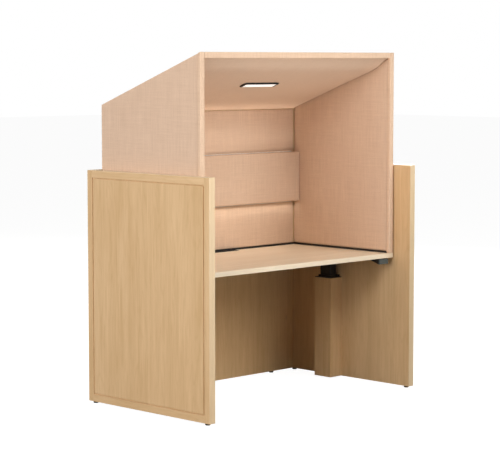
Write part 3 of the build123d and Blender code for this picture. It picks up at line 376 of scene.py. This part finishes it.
# ---- Finishes of the CAD nodes ---------------------------------------------------------------

PALE, DEEP = (0.8, 0.555, 0.31), (0.665, 0.435, 0.215)
# The edge bands' veneer is a paler copy of the panel veneer: painted light on the front and top
# edges
LIT_PALE_EDGE, LIT_DEEP_EDGE = (0.86, 0.665, 0.435), (0.77, 0.575, 0.345)
# The desk's veneer is paler than the panels' partly as its own veneer and partly as painted light
# on its up-facing top
LIT_PALE_DESK, LIT_DEEP_DESK = (0.96, 0.84, 0.65), (0.86, 0.71, 0.51)
PALE_PINE, DEEP_PINE = (0.7, 0.52, 0.31), (0.56, 0.38, 0.2)

panel_veneer = wood("panel_veneer", PALE, DEEP)
side_frame_veneer = wood("side_frame_veneer", PALE, DEEP, grain="side_frame")
back_frame_veneer = wood("back_frame_veneer", PALE, DEEP, grain="back_frame")
edge_veneer_lit = wood("edge_veneer_lit", LIT_PALE_EDGE, LIT_DEEP_EDGE, grain="edges")
desk_veneer_lit = wood("desk_veneer_lit", LIT_PALE_DESK, LIT_DEEP_DESK, grain="along_x", leaf=0.28, coat=0.45)
softwood = wood("softwood", PALE_PINE, DEEP_PINE, leaf=0.4, rough=0.62)
black_steel = coated("black_steel", (0.009, 0.009, 0.0095), 0.55)
black_plastic = coated(
    "black_plastic", (0.011, 0.011, 0.0115), 0.5, skin_size=FINE_SKIN_SIZE, depth=0.00003
)
black_aluminium = coated("black_aluminium", (0.006, 0.006, 0.0065), 0.5)
paddle_plastic = coated("paddle_plastic", (0.07, 0.092, 0.09), 0.42, skin_size=FINE_SKIN_SIZE)
slide_plastic = coated("slide_plastic", (0.78, 0.78, 0.74), 0.38, depth=0.00002)
satin_aluminium = brushed("satin_aluminium", (0.78, 0.78, 0.79), 0.34, "x")
zinc = brushed("zinc", (0.62, 0.64, 0.66), 0.38, "z")
screw_steel = brushed("screw_steel", (0.5, 0.51, 0.53), 0.32, "z")
strip_diffuser = diffuser("strip_diffuser", (1.0, 0.82, 0.64), 1.5)
ceiling_diffuser = diffuser("ceiling_diffuser", (1.0, 0.985, 0.96), 0.62)

FINISHES = {
    panel_veneer: [
        "left_panel_core", "right_panel_core", "back_panel_core", "left_inset_panel",
        "right_inset_panel", "back_inset_panel", "left_column_cover", "right_column_cover",
    ],
    side_frame_veneer: ["left_face_frame", "right_face_frame"],
    back_frame_veneer: ["back_face_frame"],
    edge_veneer_lit: ["panel_edge_bands"],
    desk_veneer_lit: ["worktop", "worktop_front_band"],
    softwood: [
        "hood_side_cores", "hood_back_core", "hood_roof_core", "rim_battens", "tackboard_core",
        "tackboard_spacers",
    ],
    black_steel: [
        "outer_tubes", "left_middle_tube", "right_middle_tube", "base_tubes", "base_brackets",
        "support_arms", "crossbeams", "drive_heads", "lift_motors",
    ],
    black_plastic: [
        "levelling_glides", "cable_port_liner", "control_box", "handset_body", "spindle_nuts",
        "column_cover_caps",
    ],
    black_aluminium: ["base_rails", "ceiling_light_housing"],
    paddle_plastic: ["handset_paddle"],
    slide_plastic: ["base_tube_pads", "left_middle_tube_pads", "right_middle_tube_pads"],
    satin_aluminium: ["light_channels"],
    zinc: ["cam_bolts", "cam_nuts", "bracket_screws", "arm_screws", "hood_bolts"],
    screw_steel: ["left_spindle", "right_spindle"],
    strip_diffuser: ["light_channel_lenses"],
    ceiling_diffuser: ["ceiling_light_lens"],
}
for finish, names in FINISHES.items():
    for name in names:
        mesh = nodes[name].data
        mesh.materials.clear()
        mesh.materials.append(finish)

WELD_DISTANCE = 0.00001
SHARP_EDGE = math.radians(40)
EASED_EDGES = {
    0.0006: [
        "left_inset_panel", "right_inset_panel", "back_inset_panel", "left_face_frame",
        "right_face_frame", "back_face_frame", "left_column_cover", "right_column_cover",
    ],
    0.0005: ["panel_edge_bands", "handset_body", "control_box"],
    0.0004: ["ceiling_light_housing", "base_rails", "cable_port_liner", "column_cover_caps"],
}
for width, names in EASED_EDGES.items():
    for name in names:
        weld = nodes[name].modifiers.new("weld", "WELD")
        weld.merge_threshold = WELD_DISTANCE
        bevel = nodes[name].modifiers.new("ease", "BEVEL")
        bevel.width = width
        bevel.segments = 2
        bevel.limit_method = "ANGLE"
        bevel.angle_limit = SHARP_EDGE
        bevel.harden_normals = True


# ---- Upholstery ------------------------------------------------------------------------------

HOOD_CLOTH = ((0.8, 0.575, 0.415), (0.695, 0.48, 0.335), (0.87, 0.64, 0.47))
# The rim's cloth is a paler copy of the hood's cloth: painted light on the front-facing rim
LIT_RIM_CLOTH = ((0.85, 0.61, 0.435), (0.77, 0.535, 0.365), (0.89, 0.65, 0.47))
hood_fabric = fabric("hood_fabric", *HOOD_CLOTH, slub=0.7)
ceiling_fabric = fabric("ceiling_fabric", *HOOD_CLOTH, slub=0.4)
rim_fabric = fabric("rim_fabric", *LIT_RIM_CLOTH)


def cut(radius, swell, thickness=0.0015):
    return {"radius": radius, "swell": swell, "thickness": thickness}


# Radius of the board's padded edge, how far the cloth may swell, and fabric with its backing
CUTS = {
    "wall_cover": cut(radius=0.0042, swell=0.0011),
    "wall_lining": cut(radius=0.0045, swell=0.0010, thickness=0.001),
    "back_cover": cut(radius=0.0032, swell=0.0007, thickness=0.001),
    "back_lining": cut(radius=0.0034, swell=0.0007, thickness=0.001),
    "roof": cut(radius=0.004, swell=0.0010),
    "tackboard": cut(radius=0.0038, swell=0.0012),
    "rim": cut(radius=0.0028, swell=0.0005),
    "ceiling": cut(radius=0.0055, swell=0.0016),
}

# Pitch of a sheet's grid, the closer steps beside its edges, and the turn over a board's edge
SHEET_PITCH = 0.024
TACKBOARD_PITCH = 0.018
RIM_PITCH = 0.03
CLOSE_STEPS = (0.0, 0.002, 0.005, 0.010, 0.018)
TURN_ANGLES = (30, 60, 90)
TURN_IN_SHARES = (0.34, 0.67, 1.0)

sheets = []


def marks(length, pitch):
    """Distances along an edge: an even pitch in the middle, closer beside each end."""
    ends = [step for step in CLOSE_STEPS if step < length / 3]
    middle = length - 2 * ends[-1]
    cells = max(1, round(middle / pitch))
    inner = [ends[-1] + middle * k / cells for k in range(1, cells)]
    return ends + inner + [length - step for step in reversed(ends)]


def drawn_in(corners, distance):
    """A convex outline, counter-clockwise, moved inward by one distance on every side."""
    moved = []
    for k, corner in enumerate(corners):
        before, after = corners[k - 1], corners[(k + 1) % 4]
        run_in = (corner - before).normalized()
        run_out = (after - corner).normalized()
        normal_in = Vector((-run_in.y, run_in.x))
        normal_out = Vector((-run_out.y, run_out.x))
        half = normal_in + normal_out
        moved.append(corner + half * (2 * distance / half.length_squared))
    return moved


def board_sheet(name, corners, radius, drops, place, pitch, extra):
    """A sheet of fabric over the face of a board and down its four edges.

    corners run counter-clockwise from low left, seen from outside. place(a, b, depth) gives the
    point that lies that far behind the face. drops are the depths of the four wrapped edges.
    extra holds more grid lines, as distances along and up the flat part. The sheet comes back
    with the numbers of the vertices along its stapled edge.
    """
    inner = drawn_in([Vector(c) for c in corners], radius)
    width = ((inner[1] - inner[0]).length + (inner[2] - inner[3]).length) / 2
    height = ((inner[3] - inner[0]).length + (inner[2] - inner[1]).length) / 2
    along = sorted(set(marks(width, pitch)) | set(extra[0]))
    upward = sorted(set(marks(height, pitch)) | set(extra[1]))
    columns, rows = len(along), len(upward)

    def spot(i, j):
        s, t = along[i] / width, upward[j] / height
        low = inner[0].lerp(inner[1], s)
        high = inner[3].lerp(inner[2], s)
        return low.lerp(high, t)

    points, faces = [], []
    for j in range(rows):
        for i in range(columns):
            points.append(place(*spot(i, j), 0.0))
    for j in range(rows - 1):
        for i in range(columns - 1):
            k = j * columns + i
            faces.append((k, k + 1, k + columns + 1, k + columns))

    loop = [(i, 0, 0) for i in range(columns - 1)]
    loop += [(columns - 1, j, 1) for j in range(rows - 1)]
    loop += [(i, rows - 1, 2) for i in range(columns - 1, 0, -1)]
    loop += [(0, j, 3) for j in range(rows - 1, 0, -1)]
    outward = []
    for k in range(4):
        run = (inner[(k + 1) % 4] - inner[k]).normalized()
        outward.append(Vector((run.y, -run.x)))
    corner_spots = {0, columns - 1, columns + rows - 2, 2 * columns + rows - 3}
    last_ring = [j * columns + i for i, j, _ in loop]

    profile = [
        (radius * math.sin(turn), radius * (1 - math.cos(turn)), 0.0)
        for turn in map(math.radians, TURN_ANGLES)
    ]
    profile += [(radius, radius, share) for share in TURN_IN_SHARES]
    for offset, depth, share in profile:
        ring = []
        for number, (i, j, side) in enumerate(loop):
            before = (side - 1) % 4
            turn = number in corner_spots
            normal = (outward[side] + outward[before]).normalized() if turn else outward[side]
            drop = (drops[side] + drops[before]) / 2 if turn else drops[side]
            a, b = spot(i, j) + normal * offset
            ring.append(len(points))
            points.append(place(a, b, depth + share * max(drop - radius, 0.0)))
        for k in range(len(loop)):
            n = (k + 1) % len(loop)
            faces.append((last_ring[n], last_ring[k], ring[k], ring[n]))
        last_ring = ring

    mesh = bpy.data.meshes.new(name)
    mesh.from_pydata([tuple(p) for p in points], [], faces)
    mesh.validate()
    piece = bpy.data.objects.new(name, mesh)
    scene.collection.objects.link(piece)
    return piece, set(last_ring)


def add_sheet(
    name, kind, outline, drops, place, replaced, material=hood_fabric, slot="hood_fabric",
    pitch=SHEET_PITCH, extra=((), ()),
):
    """Make a cover of one kind that stands for one CAD node, and list it."""
    piece, held = board_sheet(name, outline, CUTS[kind]["radius"], drops, place, pitch, extra)
    sheet = {"piece": piece, "held": held, "material": material, "slot": slot}
    sheet.update(CUTS[kind], replaced=replaced)
    sheets.append(sheet)
    return sheet


def rectangle(low_a, high_a, low_b, high_b):
    return [(low_a, low_b), (high_a, low_b), (high_a, high_b), (low_a, high_b)]


SAME_PLACE = 0.0002


def mesh_height(node, y):
    """Highest point of a CAD node at one distance from front to back."""
    return max(v.co.z for v in nodes[node].data.vertices if abs(v.co.y - y) < SAME_PLACE)


side_low, side_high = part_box("hood_right_cover")
wall_front, wall_rear = side_low.y, side_high.y
front_top = mesh_height("hood_right_cover", wall_front)
rear_top = mesh_height("hood_right_cover", wall_rear)
fall = (front_top - rear_top) / (wall_rear - wall_front)
slope = math.atan(fall)


def roof_height(y, drop=0.0):
    """Height of the roof's outside at one distance from front to back, less a drop."""
    return front_top - fall * (y - wall_front) - drop


back_core_low, back_core_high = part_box("hood_back_core")
under_roof_drop = roof_height(back_core_low.y) - back_core_high.z

# Room under the CAD's surface for the cloth to swell into, and depths that the edges turn in
SLACK = 0.0007
DEEP_SLACK = 0.0012
SHORT_TURN_IN = 0.0066
LINING_TURN_IN = 0.0055
BACK_COVER_TURN_IN = 0.0038
BACK_LINING_TURN_IN = 0.0036
ROOF_TURN_IN = 0.0058
ROOF_REAR_TURN_IN = 0.024
WRAP_GAP = 0.001


def wall_sheet(name, kind, node, outward, top_drop, slack, drops):
    """Sheet over a side wall's face; outward is 1 for a face that looks along x, else -1."""
    low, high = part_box(node)
    face_x = high.x if outward > 0 else low.x
    front, rear, bottom = low.y + SLACK, high.y - SLACK, low.z + SLACK
    # Seen from outside, a face along x runs from front to back, and one against x the other way
    start, end = (front, rear) if outward > 0 else (rear, front)
    outline = [
        (outward * start, bottom),
        (outward * end, bottom),
        (outward * end, roof_height(end, top_drop)),
        (outward * start, roof_height(start, top_drop)),
    ]

    def place(a, b, depth):
        return Vector((face_x - outward * (slack + depth), outward * a, b))

    add_sheet(name, kind, outline, drops, place, node)


for side, name in ((-1, "left"), (1, "right")):
    # Outer cover: over the outside of the wall and round its top and rear edges
    low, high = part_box(f"hood_{name}_cover")
    full = high.x - low.x - WRAP_GAP
    right_edge, left_edge = (full, SHORT_TURN_IN) if side > 0 else (SHORT_TURN_IN, full)
    wall_sheet(
        f"{name}_wall_upholstery", "wall_cover", f"hood_{name}_cover", side, SLACK, SLACK,
        (SHORT_TURN_IN, right_edge, full, left_edge),
    )
    # Lining of the same wall
    wall_sheet(
        f"{name}_wall_lining", "wall_lining", f"hood_{name}_liner", -side,
        under_roof_drop + SLACK, DEEP_SLACK, (LINING_TURN_IN,) * 4,
    )

# Outside of the back wall
low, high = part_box("hood_back_cover")
add_sheet(
    "back_wall_upholstery", "back_cover",
    rectangle(-high.x + SLACK, high.x - SLACK, low.z + SLACK, high.z - 0.002),
    (BACK_COVER_TURN_IN,) * 4,
    lambda a, b, depth, face=high.y: Vector((-a, face - SLACK - depth, b)), "hood_back_cover",
)

# Lining of the back wall
low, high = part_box("hood_back_liner")
add_sheet(
    "back_wall_lining", "back_lining",
    rectangle(low.x, high.x, low.z + SLACK, high.z - 0.001), (BACK_LINING_TURN_IN,) * 4,
    lambda a, b, depth, face=low.y: Vector((a, face + SLACK + depth, b)), "hood_back_liner",
)

# Roof: over the top and down over the rear edge
low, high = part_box("hood_roof_cover")
run_length = (high.y - low.y) / math.cos(slope)
REAR_EDGE, EDGE_DEPTH = 0.006, 0.004


def roof_place(a, b, depth, start=low.y, end=high.y):
    """Counter-clockwise seen from above, with b running back down the slope."""
    y = start + b * math.cos(slope)
    z = roof_height(y) - SLACK
    if y > end - REAR_EDGE and depth > EDGE_DEPTH:
        return Vector((a, y, z - depth))
    return Vector((a, y - depth * math.sin(slope), z - depth * math.cos(slope)))


add_sheet(
    "roof_upholstery", "roof",
    rectangle(low.x + SLACK, high.x - SLACK, SLACK, run_length - SLACK),
    (ROOF_TURN_IN, ROOF_TURN_IN, ROOF_REAR_TURN_IN, ROOF_TURN_IN), roof_place, "hood_roof_cover",
)

# Tackboard
low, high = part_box("tackboard_cover")
add_sheet(
    "tackboard_upholstery", "tackboard",
    rectangle(low.x + SLACK, high.x - SLACK, low.z + SLACK, high.z - SLACK),
    (high.y - low.y - WRAP_GAP,) * 4,
    lambda a, b, depth, face=low.y: Vector((a, face + DEEP_SLACK + depth, b)),
    "tackboard_cover", pitch=TACKBOARD_PITCH,
)

# Front rim: two posts and the rail between them, each wrapped in fabric
RIM_SLACK = 0.0005
RIM_SIDE_SLACK = 0.0003
RAIL_END_GAP = 0.0004
RIM_WRAP_GAP = 0.0006
rim_low, rim_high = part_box("rim_covers")
post_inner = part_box("hood_right_liner")[0].x
rim_depth = rim_high.y - rim_low.y - RIM_WRAP_GAP
rail_low = roof_height(rim_high.y, under_roof_drop)
RIM_SPANS = {
    "left_rim_upholstery": (rim_low.x, -post_inner, rim_low.z),
    "right_rim_upholstery": (post_inner, rim_high.x, rim_low.z),
    "top_rim_upholstery": (-post_inner + RAIL_END_GAP, post_inner - RAIL_END_GAP, rail_low),
}
for name, (start, end, bottom) in RIM_SPANS.items():

    def rim_place(a, b, depth, bottom=bottom):
        """The upper half slopes back with the roof."""
        share = max(0.0, min(1.0, (b - bottom) / (rim_high.z - bottom)))
        sink = fall * depth if share > 0.5 else 0.0
        return Vector((a, rim_low.y + RIM_SLACK + depth, b - sink))

    outline = rectangle(
        start + RIM_SIDE_SLACK, end - RIM_SIDE_SLACK, bottom + RIM_SLACK, rim_high.z - RIM_SLACK
    )
    # The rim is covered in the paler cloth, which is painted light on its front
    add_sheet(
        name, "rim", outline, (rim_depth,) * 4, rim_place, "rim_covers", rim_fabric, "rim_fabric",
        RIM_PITCH,
    )

# Ceiling: its underside follows the CAD pad and thins to a nose behind the rim. A gap along its
# sides leaves a crease beside the walls.
PAD_GAP = 0.003
PAD_TURN_IN = 0.0285
PAD_TOP_GAP = 0.002
PROBE_INSET = 0.0004
PROBE_X, PROBE_Z = 0.4, 1.2
pad_node = nodes["hood_ceiling_pad"]
pad_low, pad_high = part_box("hood_ceiling_pad")
light_low, light_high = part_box("ceiling_light_housing")


def pad_underside(y):
    """Height of the CAD pad's underside, felt from below and clear of the light."""
    y = min(max(y, pad_low.y + PROBE_INSET), pad_high.y - PROBE_INSET)
    _, where, _, _ = pad_node.ray_cast(Vector((PROBE_X, y, PROBE_Z)), Vector((0.0, 0.0, 1.0)))
    return where.z


def pad_place(a, b, depth):
    """Counter-clockwise seen from below, with b running to the front."""
    under = pad_underside(-b)
    above = roof_height(min(max(-b, pad_low.y), pad_high.y), under_roof_drop)
    room = above - under - PAD_TOP_GAP
    return Vector((a, -b, under + DEEP_SLACK + depth * min(1.0, room / PAD_TURN_IN)))


BODY_HALF_LENGTH, BODY_HALF_DEPTH = 0.1172, 0.0168
light_y = (light_low.y + light_high.y) / 2
body_reach = BODY_HALF_DEPTH * math.cos(slope)
body_y = (light_y - body_reach, light_y + body_reach)
pad_radius = CUTS["ceiling"]["radius"]
first_x = pad_low.x + PAD_GAP + pad_radius
first_b = -pad_high.y + SLACK + pad_radius
ceiling = add_sheet(
    "ceiling_upholstery", "ceiling",
    rectangle(pad_low.x + PAD_GAP, pad_high.x - PAD_GAP, -pad_high.y + SLACK, -pad_low.y - SLACK),
    (PAD_TURN_IN,) * 4, pad_place, "hood_ceiling_pad", ceiling_fabric,
    extra=(
        (-BODY_HALF_LENGTH - first_x, BODY_HALF_LENGTH - first_x),
        tuple(sorted(-y - first_b for y in body_y)),
    ),
)

# Open the ceiling for the light's body, turn the fabric up into the recess and hold it there
RECESS_RISE = 0.017
EDGE_ROOM = 0.05
HELD_ROOM_X, HELD_ROOM_Y = 0.01, 0.003


def beside_light(place, room_x, room_y):
    on_length = abs(place.x) < light_high.x + room_x
    return on_length and light_low.y - room_y < place.y < light_high.y + room_y


ceiling_mesh = ceiling["piece"].data
made = bmesh.new()
made.from_mesh(ceiling_mesh)
made.verts.ensure_lookup_table()
stapled = {made.verts[k] for k in ceiling["held"]}
hole = [
    face for face in made.faces
    if abs(face.calc_center_median().x) < BODY_HALF_LENGTH
    and body_y[0] < face.calc_center_median().y < body_y[1]
]
bmesh.ops.delete(made, geom=hole, context="FACES")
hole_edges = [
    edge for edge in made.edges
    if edge.is_boundary and all(beside_light(v.co, EDGE_ROOM, EDGE_ROOM) for v in edge.verts)
]
turned = bmesh.ops.extrude_edge_only(made, edges=hole_edges)["geom"]
raised = [item for item in turned if isinstance(item, bmesh.types.BMVert)]
rise = Vector((0.0, RECESS_RISE * math.sin(slope), RECESS_RISE * math.cos(slope)))
bmesh.ops.translate(made, verts=raised, vec=rise)
made.verts.index_update()
ceiling["held"] = {v.index for v in stapled if v.is_valid} | {
    v.index for v in made.verts if beside_light(v.co, HELD_ROOM_X, HELD_ROOM_Y)
}
made.to_mesh(ceiling_mesh)
made.free()

CLOTH_PRESSURE = 6.0
CLOTH_FRAMES = 14
CLOTH_SETTINGS = {
    "quality": 4,
    "mass": 0.05,
    "vertex_group_mass": "held",
    "tension_stiffness": 25.0,
    "compression_stiffness": 25.0,
    "use_pressure": True,
    "uniform_pressure_force": CLOTH_PRESSURE,
}


def plump():
    """Swell the fabric sheets by cloth simulation, held along their stapled edges."""
    for sheet in sheets:
        group = sheet["piece"].vertex_groups.new(name="held")
        group.add(sorted(sheet["held"]), 1.0, "REPLACE")
        cloth = sheet["piece"].modifiers.new("cloth", "CLOTH")
        for key, value in CLOTH_SETTINGS.items():
            setattr(cloth.settings, key, value)
        cloth.settings.effector_weights.gravity = 0.0
        cloth.collision_settings.use_collision = False
        cloth.point_cache.frame_end = CLOTH_FRAMES
    for number in range(1, CLOTH_FRAMES + 1):
        scene.frame_set(number)
    graph = bpy.context.evaluated_depsgraph_get()
    for sheet in sheets:
        piece, swell = sheet["piece"], sheet["swell"]
        count = len(piece.data.vertices)
        rest = np.zeros(count * 3)
        moved = np.zeros(count * 3)
        piece.data.vertices.foreach_get("co", rest)
        piece.evaluated_get(graph).data.vertices.foreach_get("co", moved)
        rest, moved = rest.reshape(-1, 3), moved.reshape(-1, 3)
        step = moved - rest
        size = np.linalg.norm(step, axis=1, keepdims=True)
        eased = swell * np.tanh(size / swell) / np.maximum(size, 1e-9)
        piece.data.vertices.foreach_set("co", (rest + step * eased).ravel())
        piece.modifiers.clear()
        piece.vertex_groups.clear()
        piece.data.update()
    scene.frame_set(1)


plump()

for sheet in sheets:
    piece = sheet["piece"]
    for polygon in piece.data.polygons:
        polygon.use_smooth = True
    piece.data.materials.append(sheet["material"])
    backing = piece.modifiers.new("thickness", "SOLIDIFY")
    backing.thickness = sheet["thickness"]
    backing.offset = -1.0
    smooth = piece.modifiers.new("smooth", "SUBSURF")
    smooth.levels = 1
    smooth.render_levels = 1
    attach(piece, "desk")
    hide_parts(sheet["replaced"])


# ---- Lights that belong to the desk ----------------------------------------------------------


def area_light(name, location, size, power, colour, spread):
    data = bpy.data.lights.new(name, "AREA")
    data.shape = "RECTANGLE"
    data.size, data.size_y = size
    data.energy = power
    data.color = colour
    data.spread = math.radians(spread)
    lamp = bpy.data.objects.new(name, data)
    scene.collection.objects.link(lamp)
    lamp.location = location
    return lamp


STRIP_END_GAP = 0.009
STRIP_LAMP_DEPTH = 0.009
LENS_GAP = 0.0006
WARM = (1.0, 0.94, 0.86)
lenses_low, lenses_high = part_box("light_channel_lenses")
strip_y = (lenses_low.y + lenses_high.y) / 2
strip_size = (2 * (post_inner - STRIP_END_GAP), STRIP_LAMP_DEPTH)
upper_place = (0.0, strip_y, lenses_high.z + LENS_GAP)
lower_place = (0.0, strip_y, lenses_low.z - LENS_GAP)
upper = area_light("upper_strip_light", upper_place, strip_size, 0.2, WARM, 52.0)
upper.rotation_euler = (math.pi, 0.0, 0.0)
lower = area_light("lower_strip_light", lower_place, strip_size, 0.26, WARM, 120.0)
for lamp in (upper, lower):
    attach(lamp, "desk")


# ---- Studio: floor, lights and camera --------------------------------------------------------

FLOOR_HALF = 40.0
FLOOR_SPECKLE = ((3.0, 3.0, 3.0), 3.0)
FLOOR_GLOW = 0.95
WORLD_STRENGTH = 0.06
WHITE = (1.0, 1.0, 1.0)


def stage_floor():
    """A pale floor that looks white to the camera and is a soft grey to the light."""
    mesh = bpy.data.meshes.new("floor")
    corners = rectangle(-FLOOR_HALF, FLOOR_HALF, -FLOOR_HALF, FLOOR_HALF)
    mesh.from_pydata([(x, y, 0.0) for x, y in corners], [], [(0, 1, 2, 3)])
    floor = bpy.data.objects.new("floor", mesh)
    scene.collection.objects.link(floor)
    f = Finish("pale_floor")
    speckle = f.noise(f.place(), *FLOOR_SPECKLE)
    grey = f.tint(speckle, rgba(0.24, 0.238, 0.235), rgba(0.26, 0.258, 0.255))
    matt = f.node("ShaderNodeBsdfDiffuse", {"Color": grey})
    glow = f.node("ShaderNodeEmission", {"Color": rgba(*WHITE), "Strength": FLOOR_GLOW})
    both = f.node("ShaderNodeAddShader", {0: matt.outputs[0], 1: glow.outputs[0]})
    seen = f.node("ShaderNodeLightPath").outputs["Is Camera Ray"]
    mixed = f.node("ShaderNodeMixShader", {0: seen, 1: matt.outputs[0], 2: both.outputs[0]})
    f.tree.links.new(mixed.outputs[0], f.output.inputs["Surface"])
    mesh.materials.append(f.material)


def studio_world():
    """A dim, even world that is plain white where the camera sees it."""
    world = bpy.data.worlds.new("studio")
    scene.world = world
    world.use_nodes = True
    tree = world.node_tree
    tree.nodes.clear()
    output = tree.nodes.new("ShaderNodeOutputWorld")
    path = tree.nodes.new("ShaderNodeLightPath")
    mix = tree.nodes.new("ShaderNodeMixShader")
    tree.links.new(path.outputs["Is Camera Ray"], mix.inputs[0])
    skies = ((1, (1.0, 0.995, 0.985), WORLD_STRENGTH), (2, WHITE, 1.0))
    for socket, colour, strength in skies:
        sky = tree.nodes.new("ShaderNodeBackground")
        sky.inputs["Color"].default_value = rgba(*colour)
        sky.inputs["Strength"].default_value = strength
        tree.links.new(sky.outputs[0], mix.inputs[socket])
    tree.links.new(mix.outputs[0], output.inputs["Surface"])


MIDDLE = (0.0, 0.0, 0.9)
LARGE_BOX = (3.0, 2.4)


def soft_box(name, location, power, target=MIDDLE, size=LARGE_BOX, colour=WHITE, spread=180.0):
    lamp = area_light(name, location, size, power, colour, spread)
    lamp.rotation_mode = "QUATERNION"
    lamp.rotation_quaternion = (Vector(target) - Vector(location)).to_track_quat("-Z", "Y")
    lamp.visible_camera = False


stage_floor()
studio_world()
soft_box("front_light", (-1.5, -4.6, 5.4), 135.0, size=(3.2, 2.4))
soft_box("front_right_light", (2.5, -5.3, 3.5), 168.0, colour=(1.0, 0.98, 0.95))
soft_box(
    "knee_light", (-0.9, -3.6, 0.3), 0.62, target=(-0.15, 0.3, 0.16), size=(0.8, 0.4),
    colour=(1.0, 0.84, 0.62), spread=26.0,
)
soft_box(
    "low_front_light", (-0.3, -2.1, 0.1), 6.6, target=(0.0, -0.1, 1.8), size=(1.8, 0.8),
    spread=64.0,
)
soft_box(
    "left_light", (-6.0, -1.6, 2.2), 218.0, target=(0.0, 0.0, 0.8), size=(3.0, 2.6),
    colour=(1.0, 0.965, 0.95),
)
soft_box("right_light", (6.0, 3.0, 3.6), 330.0)
soft_box("rear_light", (-2.5, 6.0, 3.4), 230.0)

CAMERA_PLACE = (-6.91044, -6.89783, 1.78183)
CAMERA_DIP, CAMERA_HEADING = 5.37997, -44.90233
camera_data = bpy.data.cameras.new("camera")
camera_data.lens = 132.82
camera_data.sensor_width = 36.0
camera_data.clip_end = 200.0
camera = bpy.data.objects.new("camera", camera_data)
scene.collection.objects.link(camera)
camera.location = CAMERA_PLACE
camera.rotation_euler = (math.radians(90.0 - CAMERA_DIP), 0.0, math.radians(CAMERA_HEADING))
scene.camera = camera
